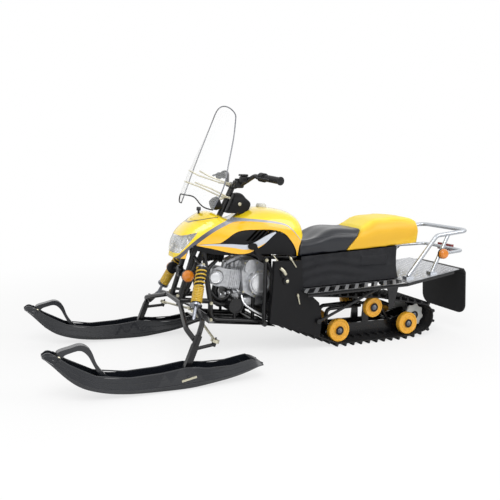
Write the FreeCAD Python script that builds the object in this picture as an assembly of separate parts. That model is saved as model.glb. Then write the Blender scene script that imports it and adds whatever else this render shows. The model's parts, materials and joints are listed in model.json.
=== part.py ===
import FreeCAD, Part
import math
import os

# Snowmobile: two steered skis in front, one rubber track behind, open engine between them.
# Millimetres. +X points to the skis, +Y to the rider's left, +Z up; the floor is Z = 0.
# Places along X are measured from a drafting datum and shifted to the middle of the length at the end.

Vector = FreeCAD.Vector
X_AXIS = Vector(1, 0, 0)
Y_AXIS = Vector(0, 1, 0)
Z_AXIS = Vector(0, 0, 1)

# General fits
fit_gap = 0.3
run_gap = 6.0
overrun = 30.0
far_reach = 700.0
sheet = 3.0

# Track unit
wheel_diameter = 130.0
wheel_width = 34.0
wheel_gauge = 240.0
front_wheel_x = -349.0
rear_wheel_x = -821.0
disc_diameter = 136.0
disc_x = -906.0
disc_z = 118.0
disc_gauge = 150.0
disc_thickness = 8.0
disc_cone = 5.0
tooth_count = 8
sprocket_x = 15.0
sprocket_z = 238.0
sprocket_diameter = 120.0
roller_diameter = 115.0
roller_x = -571.0
roller_z = 202.0
track_width = 304.0
belt_thickness = 7.0
belt_clear = 0.8
lug_height = 15.0
lug_thickness = 16.0
lug_pitch = 52.0
guide_height = 9.0
guide_thickness = 18.0
guide_inner_y = 62.0
guide_outer_y = 88.0
axle_diameter = 18.0
hub_diameter = 44.0
rail_gauge = 150.0
rail_thickness = 12.0
rail_inset = 16.0
rail_height = 78.0

# Swing arms of the track unit
arm_rod = 22.0
swing_half = 37.5
front_swing_foot_x = -330.0
front_swing_head_x = -150.0
front_swing_head_z = 245.0
rear_swing_foot_x = -745.0
rear_swing_head_x = -660.0
rear_swing_head_z = 215.0
swing_foot_drop = 6.0
link_front_x = -318.0
link_front_z = 190.0
link_rear_x = -545.0
link_rear_z = 196.0

# Tunnel, boards, platform
board_front_x = -64.0
board_rear_x = -690.0
board_inner_y = 162.0
board_outer_y = 270.0
board_front_z = 343.0
board_rear_z = 361.0
board_edge = 10.0
slot_pitch = 62.0
slot_width = 20.0
slot_skew = 56.0
slot_inner_y = 178.0
slot_outer_y = 252.0
platform_rear_x = -1095.0
platform_rear_z = 408.0
platform_rear_half = 222.0
tunnel_front_gap = 35.0
tunnel_rear_inset = 36.0
side_rail_width = 12.0
side_rail_height = 16.0
side_rail_inset = 9.3
hanger_thickness = 6.0
strut_diameter = 15.0
strut_foot_x = -170.0
strut_foot_z = 172.0
strut_head_x = -590.0
strut_y = 204.0

# Skis and spindles
ski_stance = 834.0
ski_tip_x = 1243.0
ski_length = 967.0
ski_tip_height = 215.0
ski_base_width = 116.0
ski_rim_width = 92.0
ski_wall = 6.0
ski_floor = 9.0
ski_rib = 5.0
ski_rib_height = 22.0
runner_width = 16.0
runner_height = 8.0
saddle_x = 642.0
saddle_z = 62.0
saddle_pin_diameter = 12.0
saddle_boss_diameter = 30.0
saddle_boss_half = 30.0
saddle_plate_thickness = 4.0
saddle_plate_reach = 62.0
saddle_plate_height = 34.0
ski_bolt_diameter = 8.0
kingpin_lean_deg = 21.5
spindle_size = 28.0
kingpin_diameter = 16.0
spindle_length = 132.0
kingpin_length = 60.0
bush_length = 44.0
bush_diameter = 32.0
steer_arm_length = 100.0
steer_arm_rise = 8.0
steer_arm_below = 20.0
steer_arm_diameter = 16.0
steer_boss_diameter = 22.0
steer_boss_half = 8.0
stud_height = 34.0
stud_diameter = 8.0
steer_arm_inset = 14.0
handle_width = 36.0

# Front suspension
arm_tube = 24.0
arm_front_x = 561.0
arm_front_z = 305.0
arm_rear_x = 477.0
arm_rear_z = 276.0
arm_inner_y = 112.0
arm_bend_y = 345.0
arm_front_knee_x = 612.0
arm_front_knee_z = 240.0
arm_rear_knee_x = 534.0
arm_rear_knee_z = 268.0
arm_bend = 60.0
arm_head_spread = 8.0
arm_front_lift = 4.0
foot_bar_front_x = 603.0
foot_bar_front_z = 253.0
foot_bar_rear_x = 523.0
foot_bar_rear_z = 270.0
foot_bar_diameter = 19.0
shock_top_x = 474.0
shock_top_y = 168.0
shock_top_z = 500.0
shock_foot_x = 563.0
shock_foot_y = 300.0
shock_foot_z = 262.0
shock_eye = 28.0
shock_eye_length = 14.0
shock_collar = 52.0
shock_collar_length = 4.0
shock_cup_thickness = 6.0
shock_cup = 60.0
damper_diameter = 36.0
damper_rod = 16.0
spring_diameter = 54.0
spring_wire = 9.0
spring_sleeve = 2.0
open_pitch = 23.0
tight_pitch = 10.5
open_coils = 5

# Steering
column_lean_deg = 25.0
column_diameter = 30.0
column_foot_z = 252.0
column_ref_x = 321.0
column_ref_z = 728.0
column_top_z = 864.0
pitman_lift = 30.0
pitman_length = 76.0
pitman_half = 34.0
pitman_plate = 8.0
pitman_edge = 10.0
pitman_ball_drop = 15.0
bar_diameter = 22.0
bar_rise = 66.0
bar_half_width = 385.0
bar_knee_y = 175.0
bar_clamp_y = 80.0
bar_sweep = 26.0
bar_bend = 45.0
clamp_block = 34.0
clamp_half = 28.0
grip_length = 125.0
grip_diameter = 33.0
grip_flange = 40.0
grip_flange_thickness = 4.0
control_gap = 3.0
control_length = 34.0
control_diameter = 44.0
lever_diameter = 10.0
lever_reach = 44.0
lever_length = 120.0
lever_root = 24.0
perch_diameter = 18.0
rod_diameter = 12.0
rod_eye = 30.0
rod_eye_half = 7.0
outer_eye = 40.0
outer_eye_bore = 24.0
inner_eye_bore = 9.0
rod_eye_lift = 18.0

# Windshield
shield_bottom_z = 765.0
shield_top_z = 1268.0
shield_bottom_x = 534.0
shield_top_x = 318.0
shield_half = 250.0
shield_bulge = 92.0
shield_sheet = 4.0
shield_notch = 50.0
shield_rod = 8.0
shield_rod_y = 80.0
upper_rod_z = 885.0
lower_rod_z = 815.0
shield_rod_rear_x = 300.0
meter_x = 382.0
meter_y = 30.0
meter_z = 775.0
meter_radius = 33.0
meter_depth = 44.0
meter_tilt_share = 0.35

# Body
body_base_z = 515.0
body_top_z = 764.0
body_tail_x = -108.0
body_nose_x = 580.0
body_half_width = 152.0
body_wall = 4.0
lens_wall = 12.0
skin_gap = 2.0
cap_rise = 8.0
pod_half = 44.0
pod_top_z = 838.0
column_slot_gap = 6.0
knob_x = 437.0
knob_diameter = 22.0
knob_height = 40.0
fuel_cap_x = 90.0
fuel_cap_diameter = 54.0
fuel_cap_height = 36.0
grille_count = 7
grille_slot = 9.0
grille_pitch = 26.0
panel_depth = 30.0
panel_front_x = 112.0
panel_rear_x = -192.0
panel_low_z = 88.0
panel_top_z = 532.0
panel_wall = 5.0
panel_boss_diameter = 46.0
panel_boss_x = 37.0
panel_boss_z = 438.0
panel_boss_height = 8.0

# Seat and skirt
seat_front_x = -78.0
seat_rear_x = -862.0
seat_half_width = 141.0
seat_base_front_z = 513.0
seat_base_rear_z = 556.0
seat_top_z = 712.0
seam_gap = 2.0
skirt_rear_x = -732.0
skirt_half_width = 148.0
skirt_lean = 25.0
skirt_heel = 6.0

# Rack, lamps, flap
rack_tube = 24.0
rack_half_width = 195.0
rack_foot_x = -748.0
rack_knee_x = -935.0
rack_knee_z = 608.0
rack_rear_x = -1165.0
rack_top_z = 632.0
rack_bend = 45.0
strut_rack_foot_x = -917.0
strut_rack_head_x = -1019.0
strut_rack_head_z = 612.0
hoop_front_x = -968.0
hoop_front_z = 500.0
hoop_rear_z = 510.0
hoop_half_width = 166.0
hoop_tube = 19.0
hoop_bend = 40.0
rack_foot_half = 24.0
rack_foot_side = 18.0
rack_foot_height = 15.0
lamp_diameter = 58.0
lamp_depth = 34.0
front_lamp_x = 533.0
front_lamp_y = 118.0
front_lamp_z = 440.0
rear_lamp_x = -972.0
rear_lamp_z = 505.0
tail_lamp_depth = 18.0
tail_lamp_half = 60.0
tail_lamp_low_z = 490.0
tail_lamp_high_z = 530.0
flap_half_width = 188.0
flap_rear_x = -1205.0
flap_bottom_z = 124.0
flap_thickness = 7.0
flap_corner = 60.0
flap_lip = 34.0
flap_bend_x = 40.0
flap_bend_low = 22.0
flap_bend_drop = 26.0

# Frame
frame_tube = 26.0
frame_rear_x = 125.0
frame_front_x = 555.0
frame_half = 112.0
frame_low_z = 172.0
frame_high_z = 600.0
side_post_diameter = 22.0
side_tube_bend = 40.0
front_beam_bend = 30.0
lamp_stem_diameter = 12.0
stay_diameter = 14.0
cross_diameter = 16.0
post_diameter = 20.0
head_tube_wall = 8.0
head_tube_low_z = 545.0
head_tube_high_z = 600.0
foot_tube_low_z = 330.0
foot_tube_high_z = 356.0
body_cross_x = 440.0
body_cross_z = 556.0
body_cross_diameter = 18.0
tank_post_x = -20.0
tank_post_y = 100.0
tank_post_foot_z = 507.0
tank_rail_front_z = 512.0
tank_rail_rear_z = 505.0
mount_diameter = 20.0
mount_start_y = 88.0
horn_x = 520.0
horn_z = 444.0
horn_diameter = 56.0
horn_depth = 26.0

# Engine
crank_x = 129.0
crank_z = 375.0
case_front_x = 225.0
case_rear_x = 58.0
case_low_z = 295.0
case_high_z = 500.0
case_half_width = 78.0
case_seam = 6.0
case_seam_rise = 5.0
cover_diameter = 134.0
cover_depth = 30.0
clutch_diameter = 156.0
clutch_depth = 50.0
tensioner_height = 14.0
head_x = 364.0
head_z = 416.0
cylinder_start = 92.0
cylinder_end = 217.0
cylinder_half_width = 52.0
cylinder_half_height = 46.0
head_radius = 50.0
head_cap_offset = 235.0
head_cap_diameter = 76.0
head_cap_depth = 26.0
fin_count = 6
fin_thickness = 4.0
fin_pitch = 11.0
fin_rise = 9.0
fin_start = 96.0
carb_rear_x = 214.0
carb_rear_z = 508.0
carb_front_x = 288.0
carb_front_z = 478.0
carb_diameter = 44.0
carb_bowl_diameter = 34.0
carb_bowl_depth = 30.0
intake_x = 298.0
intake_z = 440.0
intake_diameter = 30.0
muffler_x = 270.0
muffler_z = 270.0
muffler_diameter = 78.0
muffler_left_y = 122.0
muffler_right_y = -110.0
muffler_rim = 5.0
pipe_diameter = 34.0
pipe_bend = 25.0


def vec(x, y, z):
    return Vector(x, y, z)


def between(low, high, share):
    return low + (high - low) * share


def placed(shares, x0, x1, z0, z1):
    """Points of an outline from shares of a span along X and of one along Z."""
    return [(between(x0, x1, u), between(z0, z1, w)) for u, w in shares]


def mirrored(shape):
    return shape.mirror(vec(0, 0, 0), Y_AXIS)


def both(shape):
    return Part.makeCompound([shape, mirrored(shape)])


def fused(shapes):
    first, rest = shapes[0], shapes[1:]
    return first.multiFuse(rest).removeSplitter() if rest else first


def box(x0, x1, y0, y1, z0, z1):
    low = vec(min(x0, x1), min(y0, y1), min(z0, z1))
    return Part.makeBox(abs(x1 - x0), abs(y1 - y0), abs(z1 - z0), low)


def rod(start, end, diameter):
    along = end - start
    return Part.makeCylinder(diameter / 2, along.Length, start, along)


def cross_rod(x, z, half, diameter):
    return rod(vec(x, -half, z), vec(x, half, z), diameter)


def bar(start, end, width, height):
    """Rectangular bar whose width lies across the machine and whose top follows the line."""
    along = end - start
    across = Vector(Z_AXIS).cross(along).normalize() * (width / 2)
    down = vec(0, 0, -height)
    corners = [start + across, start - across, start - across + down, start + across + down]
    return Part.Face(Part.makePolygon(corners + corners[:1])).extrude(along)


def ring(start, end, outer, inner):
    along = end - start
    far = Vector(along).normalize() * overrun
    bore = rod(start - far, end + far, inner)
    return rod(start, end, outer).cut(bore)


def plate_xz(points, y0, y1):
    corners = [vec(x, y0, z) for x, z in points]
    face = Part.Face(Part.makePolygon(corners + corners[:1]))
    return face.extrude(vec(0, y1 - y0, 0))


def plate_xy(points, z0, z1):
    corners = [vec(x, y, z0) for x, y in points]
    face = Part.Face(Part.makePolygon(corners + corners[:1]))
    return face.extrude(vec(0, 0, z1 - z0))


def spline_edge(points):
    curve = Part.BSplineCurve()
    curve.interpolate(points)
    return curve.toShape()


def curved_face(runs, spot):
    """Face inside runs of points: a spline through three or more, a line through two, and between runs."""
    edges = []
    for run, following in zip(runs, runs[1:] + runs[:1]):
        points = [spot(*p) for p in run]
        if len(points) > 2:
            edges.append(spline_edge(points))
        elif len(points) == 2:
            edges.append(Part.LineSegment(points[0], points[1]).toShape())
        start = spot(*following[0])
        if (points[-1] - start).Length > fit_gap / 10:
            edges.append(Part.LineSegment(points[-1], start).toShape())
    return Part.Face(Part.Wire(edges))


def curved_xz(runs, y0, y1):
    """Plate whose side view is made of curved runs."""
    return curved_face(runs, lambda x, z: vec(x, y0, z)).extrude(vec(0, y1 - y0, 0))


def curved_yz(runs, x0, x1):
    """Plate whose front view is made of curved runs."""
    return curved_face(runs, lambda y, z: vec(x0, y, z)).extrude(vec(x1 - x0, 0, 0))


def path_wire(points, bend):
    edges = []
    start = points[0]
    for before, corner, after in zip(points, points[1:], points[2:]):
        back = (before - corner).normalize()
        ahead = (after - corner).normalize()
        half = back.getAngle(ahead) / 2
        reach = bend / math.tan(half)
        middle = corner + (back + ahead).normalize() * (bend / math.sin(half) - bend)
        edges.append(Part.LineSegment(start, corner + back * reach).toShape())
        edges.append(Part.Arc(corner + back * reach, middle, corner + ahead * reach).toShape())
        start = corner + ahead * reach
    edges.append(Part.LineSegment(start, points[-1]).toShape())
    return Part.Wire(edges)


def bent_tube(points, diameter, bend):
    circle = Part.Circle(points[0], points[1] - points[0], diameter / 2).toShape()
    return path_wire(points, bend).makePipeShell([Part.Wire(circle)], True, False)


def turned(profile, origin, axis):
    """Solid of revolution: profile is (radius, distance along the axis)."""
    corners = [vec(r, 0, d) for r, d in profile]
    face = Part.Face(Part.makePolygon(corners + corners[:1]))
    solid = face.revolve(vec(0, 0, 0), Z_AXIS, 360)
    solid.Placement = FreeCAD.Placement(origin, FreeCAD.Rotation(Z_AXIS, axis))
    return solid


# Directions and places shared by several pieces
kingpin_lean = math.radians(kingpin_lean_deg)
kingpin_axis = vec(-math.sin(kingpin_lean), 0, math.cos(kingpin_lean))
column_lean = math.radians(column_lean_deg)
column_axis = vec(-math.sin(column_lean), 0, math.cos(column_lean))
column_rear = vec(-math.cos(column_lean), 0, -math.sin(column_lean))
ski_y = ski_stance / 2
saddle = vec(saddle_x, ski_y, saddle_z)
column_ref = vec(column_ref_x, 0, column_ref_z)
centre_x = (ski_tip_x + flap_rear_x) / 2
wheel_z = wheel_diameter / 2 + belt_clear + belt_thickness + lug_height
skid_low = belt_thickness + lug_height + belt_clear
skid_top = skid_low + rail_height
shock_top = vec(shock_top_x, shock_top_y, shock_top_z)
shock_foot = vec(shock_foot_x, shock_foot_y, shock_foot_z)
shock_axis = (shock_foot - shock_top).normalize()
shock_length = (shock_foot - shock_top).Length


def on_column(z):
    return column_ref + column_axis * ((z - column_ref_z) / math.cos(column_lean))


def on_kingpin(distance):
    return saddle + kingpin_axis * distance


def board_z(x):
    """Top of the boards and of the tunnel."""
    if x < board_rear_x:
        rise = (platform_rear_z - board_rear_z) / (platform_rear_x - board_rear_x)
        return board_rear_z + rise * (x - board_rear_x)
    rise = (board_rear_z - board_front_z) / (board_rear_x - board_front_x)
    return board_front_z + rise * (x - board_front_x)


def board_half(x):
    """Half width of the boards and of the platform."""
    if x < board_rear_x:
        share = (x - board_rear_x) / (platform_rear_x - board_rear_x)
        return between(board_outer_y, platform_rear_half, share)
    return board_outer_y


def seat_base_z(x):
    rise = (seat_base_rear_z - seat_base_front_z) / (seat_rear_x - seat_front_x)
    return seat_base_front_z + rise * (x - seat_front_x)


# Track: a belt round the sprocket, the upper rollers, the discs and the wheels, as one closed loop
lug_shares = ((-0.5, 0), (-0.32, 1), (0.32, 1), (0.5, 0))
guide_shares = ((-0.5, 0), (-0.3, 1), (0.3, 1), (0.5, 0))


def track_circles():
    """Centres and radii of what the belt runs round, in order with the loop on the left."""
    clear = guide_height + belt_clear
    return [
        (sprocket_x, sprocket_z, sprocket_diameter / 2 + clear),
        (roller_x, roller_z, roller_diameter / 2 + belt_clear),
        (disc_x, disc_z, disc_diameter / 2 + clear),
        (rear_wheel_x, wheel_z, wheel_diameter / 2 + belt_clear),
        (front_wheel_x, wheel_z, wheel_diameter / 2 + belt_clear),
    ]


def tangents(circles):
    """Outer tangent points between each circle and the next, counterclockwise seen with X right, Z up."""
    legs = []
    for (x0, z0, r0), (x1, z1, r1) in zip(circles, circles[1:] + circles[:1]):
        span = math.hypot(x1 - x0, z1 - z0)
        heading = math.atan2(z1 - z0, x1 - x0)
        turn = heading - math.pi / 2 + math.asin((r0 - r1) / span)
        nx, nz = math.cos(turn), math.sin(turn)
        legs.append(((x0 + r0 * nx, z0 + r0 * nz), (x1 + r1 * nx, z1 + r1 * nz)))
    return legs


def arc_ends(circles, legs, i):
    """Centre, radius, first angle and swept angle of the arc that follows leg i."""
    cx, cz, radius = circles[(i + 1) % len(circles)]
    end, leave = legs[i][1], legs[(i + 1) % len(legs)][0]
    a0 = math.atan2(end[1] - cz, end[0] - cx)
    a1 = math.atan2(leave[1] - cz, leave[0] - cx)
    return cx, cz, radius, a0, (a1 - a0) % (2 * math.pi)


def loop_length(circles, legs):
    total = 0
    for i, (start, end) in enumerate(legs):
        cx, cz, radius, a0, sweep = arc_ends(circles, legs, i)
        total += math.hypot(end[0] - start[0], end[1] - start[1]) + sweep * radius
    return total


def loop_point(circles, legs, distance):
    """Point and outward direction at a distance along the loop that legs and arcs make."""
    for i, (start, end) in enumerate(legs):
        leg = math.hypot(end[0] - start[0], end[1] - start[1])
        if distance <= leg:
            share = distance / leg
            x, z = between(start[0], end[0], share), between(start[1], end[1], share)
            return x, z, (end[1] - start[1]) / leg, -(end[0] - start[0]) / leg
        distance -= leg
        cx, cz, radius, a0, sweep = arc_ends(circles, legs, i)
        if distance <= sweep * radius:
            angle = a0 + distance / radius
            x, z = math.cos(angle), math.sin(angle)
            return cx + radius * x, cz + radius * z, x, z
        distance -= sweep * radius
    return loop_point(circles, legs, distance)


def track():
    """Belt with lugs outside and two rows of guide lugs inside."""
    circles = track_circles()
    legs = tangents(circles)
    length = loop_length(circles, legs)
    count = round(length / lug_pitch)
    pitch = length / count
    outer, bare, guided = [], [], []
    for i in range(count):
        middle = (i + 0.5) * pitch
        outer += [(middle + a * lug_thickness, belt_thickness + up * lug_height) for a, up in lug_shares]
        outer.append((middle + pitch / 2, belt_thickness))
        before = [(middle - pitch / 2, 0), (middle - pitch / 4, 0)]
        after = [(middle + pitch / 4, 0)]
        tooth = [(middle + a * guide_thickness, -up * guide_height) for a, up in guide_shares]
        bare += before + [tooth[0], tooth[-1]] + after
        guided += before + tooth + after

    def outline(spots):
        points = []
        for distance, rise in spots:
            x, z, nx, nz = loop_point(circles, legs, distance)
            points.append((x + nx * rise, z + nz * rise))
        return points

    half = track_width / 2
    inline = outline(bare)
    belt = plate_xz(outline(outer), -half, half).cut(plate_xz(inline, -half - overrun, half + overrun))
    row = plate_xz(inline, guide_inner_y, guide_outer_y)
    row = row.cut(plate_xz(outline(guided), guide_inner_y - overrun, guide_outer_y + overrun))
    return belt.multiFuse([row, mirrored(row)])


# Wheel face: shares of the radius and of half the width, from the hub out
wheel_shares = ((0.34, 1.0), (0.34, 0.66), (0.80, 0.74), (0.85, 1.0), (0.95, 1.0), (1.0, 0.7))


def wheel(x, z, diameter, width, y):
    """Wheel with a dished face on both sides, a hub and a bore."""
    r, w = diameter / 2, width / 2
    hub, bore = hub_diameter / 2, axle_diameter / 2 + fit_gap
    profile = [(bore, -w), (hub, -w)] + [(max(hub, r * u), -w * d) for u, d in wheel_shares[1:]]
    profile += [(radius, -d) for radius, d in reversed(profile)]
    return turned(profile, vec(x, y, z), Y_AXIS)


def track_wheels():
    y = wheel_gauge / 2
    wheels = [wheel(x, wheel_z, wheel_diameter, wheel_width, y) for x in (front_wheel_x, rear_wheel_x)]
    wheels.append(wheel(roller_x, roller_z, roller_diameter, wheel_width, y))
    return both(Part.makeCompound(wheels))


tooth_root_share = 0.88


def toothed(x, z, diameter, thickness, y, bore):
    """Toothed disc as a star outline with flat tips."""
    points = []
    for i in range(tooth_count * 4):
        angle = math.pi * (i + 0.5) / (tooth_count * 2)
        radius = diameter / 2 * (1 if i % 4 in (0, 1) else tooth_root_share)
        points.append((x + radius * math.cos(angle), z + radius * math.sin(angle)))
    disc = plate_xz(points, y - thickness / 2, y + thickness / 2)
    return disc.cut(rod(vec(x, y - thickness, z), vec(x, y + thickness, z), bore))


def track_sprockets():
    """Rear guide discs on their bore, and the two front drums on the drive shaft."""
    bore = axle_diameter + 2 * fit_gap
    y = disc_gauge / 2
    disc = toothed(disc_x, disc_z, disc_diameter, disc_thickness, y, bore)
    face = y + disc_thickness / 2 + disc_cone
    cone = ring(vec(disc_x, y, disc_z), vec(disc_x, face, disc_z), hub_diameter, bore)
    drums = both(toothed(sprocket_x, sprocket_z, sprocket_diameter, wheel_width, y, axle_diameter))
    shaft = cross_rod(sprocket_x, sprocket_z, board_inner_y + fit_gap, axle_diameter + 2 * fit_gap)
    return Part.makeCompound([both(fused([disc, cone])), fused([drums, shaft])])


rail_nose_shares = ((0.2, 0.8), (0.5, 0.45))
roller_post_shares = ((-0.3, -0.2), (0.3, -0.2), (0.2, 0), (-0.2, 0))


def skid_frame():
    """Two slide rails with the axles of the wheels, rollers and discs."""
    y0 = rail_gauge / 2 - rail_inset - rail_thickness
    y1 = rail_gauge / 2 - rail_inset
    nose = [(front_wheel_x + rail_height * u, skid_low + rail_height * w) for u, w in rail_nose_shares]
    heel = [
        (disc_x - axle_diameter, disc_z - axle_diameter), (disc_x - axle_diameter, disc_z + axle_diameter),
        (disc_x + axle_diameter, disc_z + axle_diameter), (rear_wheel_x + rail_height, skid_top),
    ]
    sole = [(front_wheel_x, skid_low), (rear_wheel_x, skid_low)]
    outline = nose + sole + heel + [(front_wheel_x, skid_top)]
    rail = plate_xz(outline, y0, y1)
    post = []
    for along, up in roller_post_shares:
        level = skid_top + rail_height * up if up else roller_z + axle_diameter
        post.append((roller_x + rail_height * along, level))
    post = plate_xz(post, y0, y1)
    out = wheel_gauge / 2 + wheel_width / 2
    axles = [cross_rod(x, wheel_z, out, axle_diameter) for x in (front_wheel_x, rear_wheel_x)]
    axles.append(cross_rod(roller_x, roller_z, out, axle_diameter))
    disc_out = disc_gauge / 2 + disc_thickness / 2 + disc_cone + axle_diameter / 2
    axles.append(cross_rod(disc_x, disc_z, disc_out, axle_diameter))
    return fused([rail, mirrored(rail), post, mirrored(post)] + axles)


def skid_arms(frame, wheels):
    """Front and rear swing arms from the tunnel to the rails, with the link between them."""
    foot_z = skid_top - swing_foot_drop
    arms = []
    for y in (swing_half, -swing_half):
        front_foot = vec(front_swing_foot_x, y, foot_z)
        rear_foot = vec(rear_swing_foot_x, y, foot_z)
        arms.append(rod(front_foot, vec(front_swing_head_x, y, front_swing_head_z), arm_rod))
        arms.append(rod(rear_foot, vec(rear_swing_head_x, y, rear_swing_head_z), arm_rod))
        link = [(link_front_x, skid_top), (link_front_x, link_front_z), (link_rear_x, link_rear_z)]
        arms.append(bent_tube([vec(x, y, z) for x, z in link], arm_rod, overrun))
    arms.append(cross_rod(front_swing_head_x, front_swing_head_z, board_inner_y, arm_rod))
    arms.append(cross_rod(rear_swing_head_x, rear_swing_head_z, board_inner_y, arm_rod))
    arms.append(cross_rod(front_swing_foot_x, foot_z, swing_half * 2, arm_rod))
    arms.append(cross_rod(rear_swing_foot_x, foot_z, swing_half * 2, arm_rod))
    return fused(arms).cut(frame).cut(wheels)


hanger_shares = ((0.144, 1.0), (-0.08, 1.0), (0.008, 0.0), (0.080, 0.0))
gusset_shares = ((0.13, 0), (0.13, 1), (-0.13, 0))
outrigger_shares = (0.16, 0.50, 0.84)
gusset_drop = 52.0
hanger_low_z = 202.0
strut_eye = 26.0
strut_eye_depth = 10.0


def tunnel():
    """Deck over the track, with side rails under the boards, outriggers, hangers and struts."""
    half = board_inner_y
    front, rear = sprocket_x + tunnel_front_gap, platform_rear_x + tunnel_rear_inset
    upper = [(x, board_z(x)) for x in (front, board_rear_x, rear)]
    lower = [(x, z - sheet) for x, z in reversed(upper)]
    pieces = [plate_xz(upper + lower, -half, half)]
    under = sheet + fit_gap
    for s in (1, -1):
        spots = []
        for x in (board_front_x, board_rear_x, rear):
            spots.append(vec(x, s * (board_half(x) - side_rail_inset), board_z(x) - under))
        pieces.append(bar(spots[0], spots[1], side_rail_width, side_rail_height))
        pieces.append(bar(spots[1], spots[2], side_rail_width, side_rail_height))
        for share in outrigger_shares:
            x = between(board_front_x, board_rear_x, share)
            inner = vec(x, s * (half - side_rail_width), board_z(x) - under)
            pieces.append(bar(inner, vec(x, s * (board_outer_y - side_rail_inset), board_z(x) - under),
                              side_rail_width, side_rail_height))
        x = rear + side_rail_width / 2
        end = vec(x, s * (board_half(x) - side_rail_inset), board_z(x) - under)
        pieces.append(bar(vec(x, s * (half - side_rail_width), board_z(x) - under), end,
                          side_rail_width, side_rail_height))
        low = board_z(board_rear_x) - under
        span = board_rear_x - platform_rear_x
        gusset = [(board_rear_x + u * span, low - w * gusset_drop) for u, w in gusset_shares]
        pieces.append(plate_xz(gusset, s * (half - hanger_thickness), s * half))
        foot = vec(strut_foot_x, s * strut_y, strut_foot_z)
        head = vec(strut_head_x, s * strut_y, board_z(strut_head_x) - under - side_rail_height / 2)
        pieces.append(rod(foot, head, strut_diameter))
        eye = vec(strut_foot_x, s * (board_inner_y + panel_depth + fit_gap * 2), strut_foot_z)
        pieces.append(rod(eye, eye + vec(0, s * (strut_eye_depth + strut_diameter / 2), 0), strut_eye))
    length = board_rear_x - platform_rear_x
    head = board_rear_z - sheet
    hanger = [(board_rear_x + u * length, between(hanger_low_z, head, w)) for u, w in hanger_shares]
    pieces.append(both(plate_xz(hanger, half - hanger_thickness, half)))
    bore = cross_rod(rear_swing_head_x, rear_swing_head_z, half + overrun, arm_rod + 2 * fit_gap)
    return fused(pieces).cut(bore)


# Body: sections along X as shares of the length, height and half width
body_station_shares = (
    (1.000, 0.10, 0.26), (0.986, 0.32, 0.43), (0.962, 0.48, 0.56), (0.910, 0.65, 0.68), (0.840, 0.79, 0.79),
    (0.735, 0.92, 0.90), (0.628, 0.82, 0.97), (0.548, 0.79, 0.99), (0.422, 0.95, 1.00),
    (0.280, 1.00, 0.985), (0.167, 0.96, 0.945), (0.078, 0.885, 0.88), (0.033, 0.79, 0.81), (0.000, 0.62, 0.71),
)
body_arch_shares = ((0.93, 0.00), (1.00, 0.35), (0.985, 0.66), (0.80, 0.88), (0.42, 0.975))


def arch_wire(x, half, base, top, arch_shares):
    """Cross section with a curved arch over a flat base."""
    side = [vec(x, half * w, between(base, top, h)) for w, h in arch_shares]
    other = [vec(x, -p.y, p.z) for p in reversed(side)]
    arch = spline_edge(side + [vec(x, 0, top)] + other)
    floor = Part.LineSegment(other[-1], side[0]).toShape()
    return Part.Wire([arch, floor])


def body_loft(inset, drop):
    wires = []
    for along, high, wide in body_station_shares:
        x = between(body_tail_x + inset, body_nose_x - inset, along)
        top = between(body_base_z, body_top_z, high) - inset
        half = wide * body_half_width - inset
        wires.append(arch_wire(x, half, body_base_z - drop, top, body_arch_shares))
    return Part.makeLoft(wires, True, False)


def on_body(shares):
    return placed(shares, body_tail_x, body_nose_x, body_base_z, body_top_z)


def region(points):
    """Prism of a side view outline, right across the machine."""
    return plate_xz(points, -body_half_width - overrun, body_half_width + overrun)


def curved_region(runs):
    return curved_xz(runs, -body_half_width - overrun, body_half_width + overrun)


cover_edge_shares = (
    (0.701, 0.329), (0.644, 0.430), (0.593, 0.522), (0.538, 0.570), (0.419, 0.586),
    (0.262, 0.562), (0.186, 0.486), (0.125, 0.333), (0.081, 0.181), (0.055, -0.040),
)
cover_front_shares = ((0.929, 0.016), (0.929, 0.088), (0.874, 0.297))
tail_edge_shares = (
    (0.048, -0.040), (0.042, 0.181), (-0.004, 0.502), (-0.004, 1.546), (1.174, 1.546), (1.174, 0.016),
)
lens_corner_shares = ((1.087, 0.068), (1.087, 0.430), (0.959, 0.462))
lens_edge_shares = ((0.855, 0.542), (0.884, 0.430), (0.927, 0.281), (0.971, 0.124))
blade_top_shares = (
    (0.869, 0.285), (0.701, 0.313), (0.578, 0.301), (0.480, 0.293), (0.375, 0.414), (0.267, 0.534),
)
blade_bottom_shares = (
    (0.262, 0.506), (0.317, 0.382), (0.375, 0.249), (0.404, 0.205), (0.464, 0.124),
    (0.564, 0.104), (0.709, 0.189), (0.797, 0.241),
)
infill_top_shares = (
    (0.884, 0.189), (0.866, 0.309), (0.701, 0.353), (0.644, 0.458), (0.593, 0.550), (0.538, 0.598),
    (0.419, 0.614), (0.262, 0.586), (0.180, 0.506), (0.116, 0.349), (0.070, 0.189), (0.049, 0.004),
)
infill_low_shares = ((0.302, 0.068), (0.390, 0.076), (0.564, 0.076), (0.738, 0.100))
cap_shares = (
    (0.488, 0.253), (0.480, 0.301), (0.455, 0.317), (0.424, 0.293), (0.416, 0.245),
    (0.424, 0.201), (0.452, 0.181), (0.480, 0.205), (0.488, 0.253),
)
cap_arm_shares = ((0.448, 0.221), (0.413, 0.237), (0.355, -0.044), (0.387, -0.068))
grille_start_shares = (0.385, 0.36)
grille_lean_shares = (0.10, 0.26)


def body_skins():
    """Whole body, its inside, and the skin between them."""
    outside = body_loft(0, 0)
    inside = body_loft(body_wall, overrun)
    return outside, inside, outside.cut(inside)


def lens_region():
    corner = on_body(lens_corner_shares)
    return curved_region([corner[:2], corner[2:], on_body(lens_edge_shares)])


def body_cover(skin):
    front, edge = on_body(cover_front_shares), on_body(cover_edge_shares)
    tail = on_body(tail_edge_shares)
    above = curved_region([front, edge, tail[:2], tail[2:4], tail[4:]])
    shell = skin.common(above).cut(lens_region())
    wide = column_diameter + 2 * column_slot_gap
    return shell.cut(rod(on_column(body_base_z), on_column(body_top_z + far_reach), wide))


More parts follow.
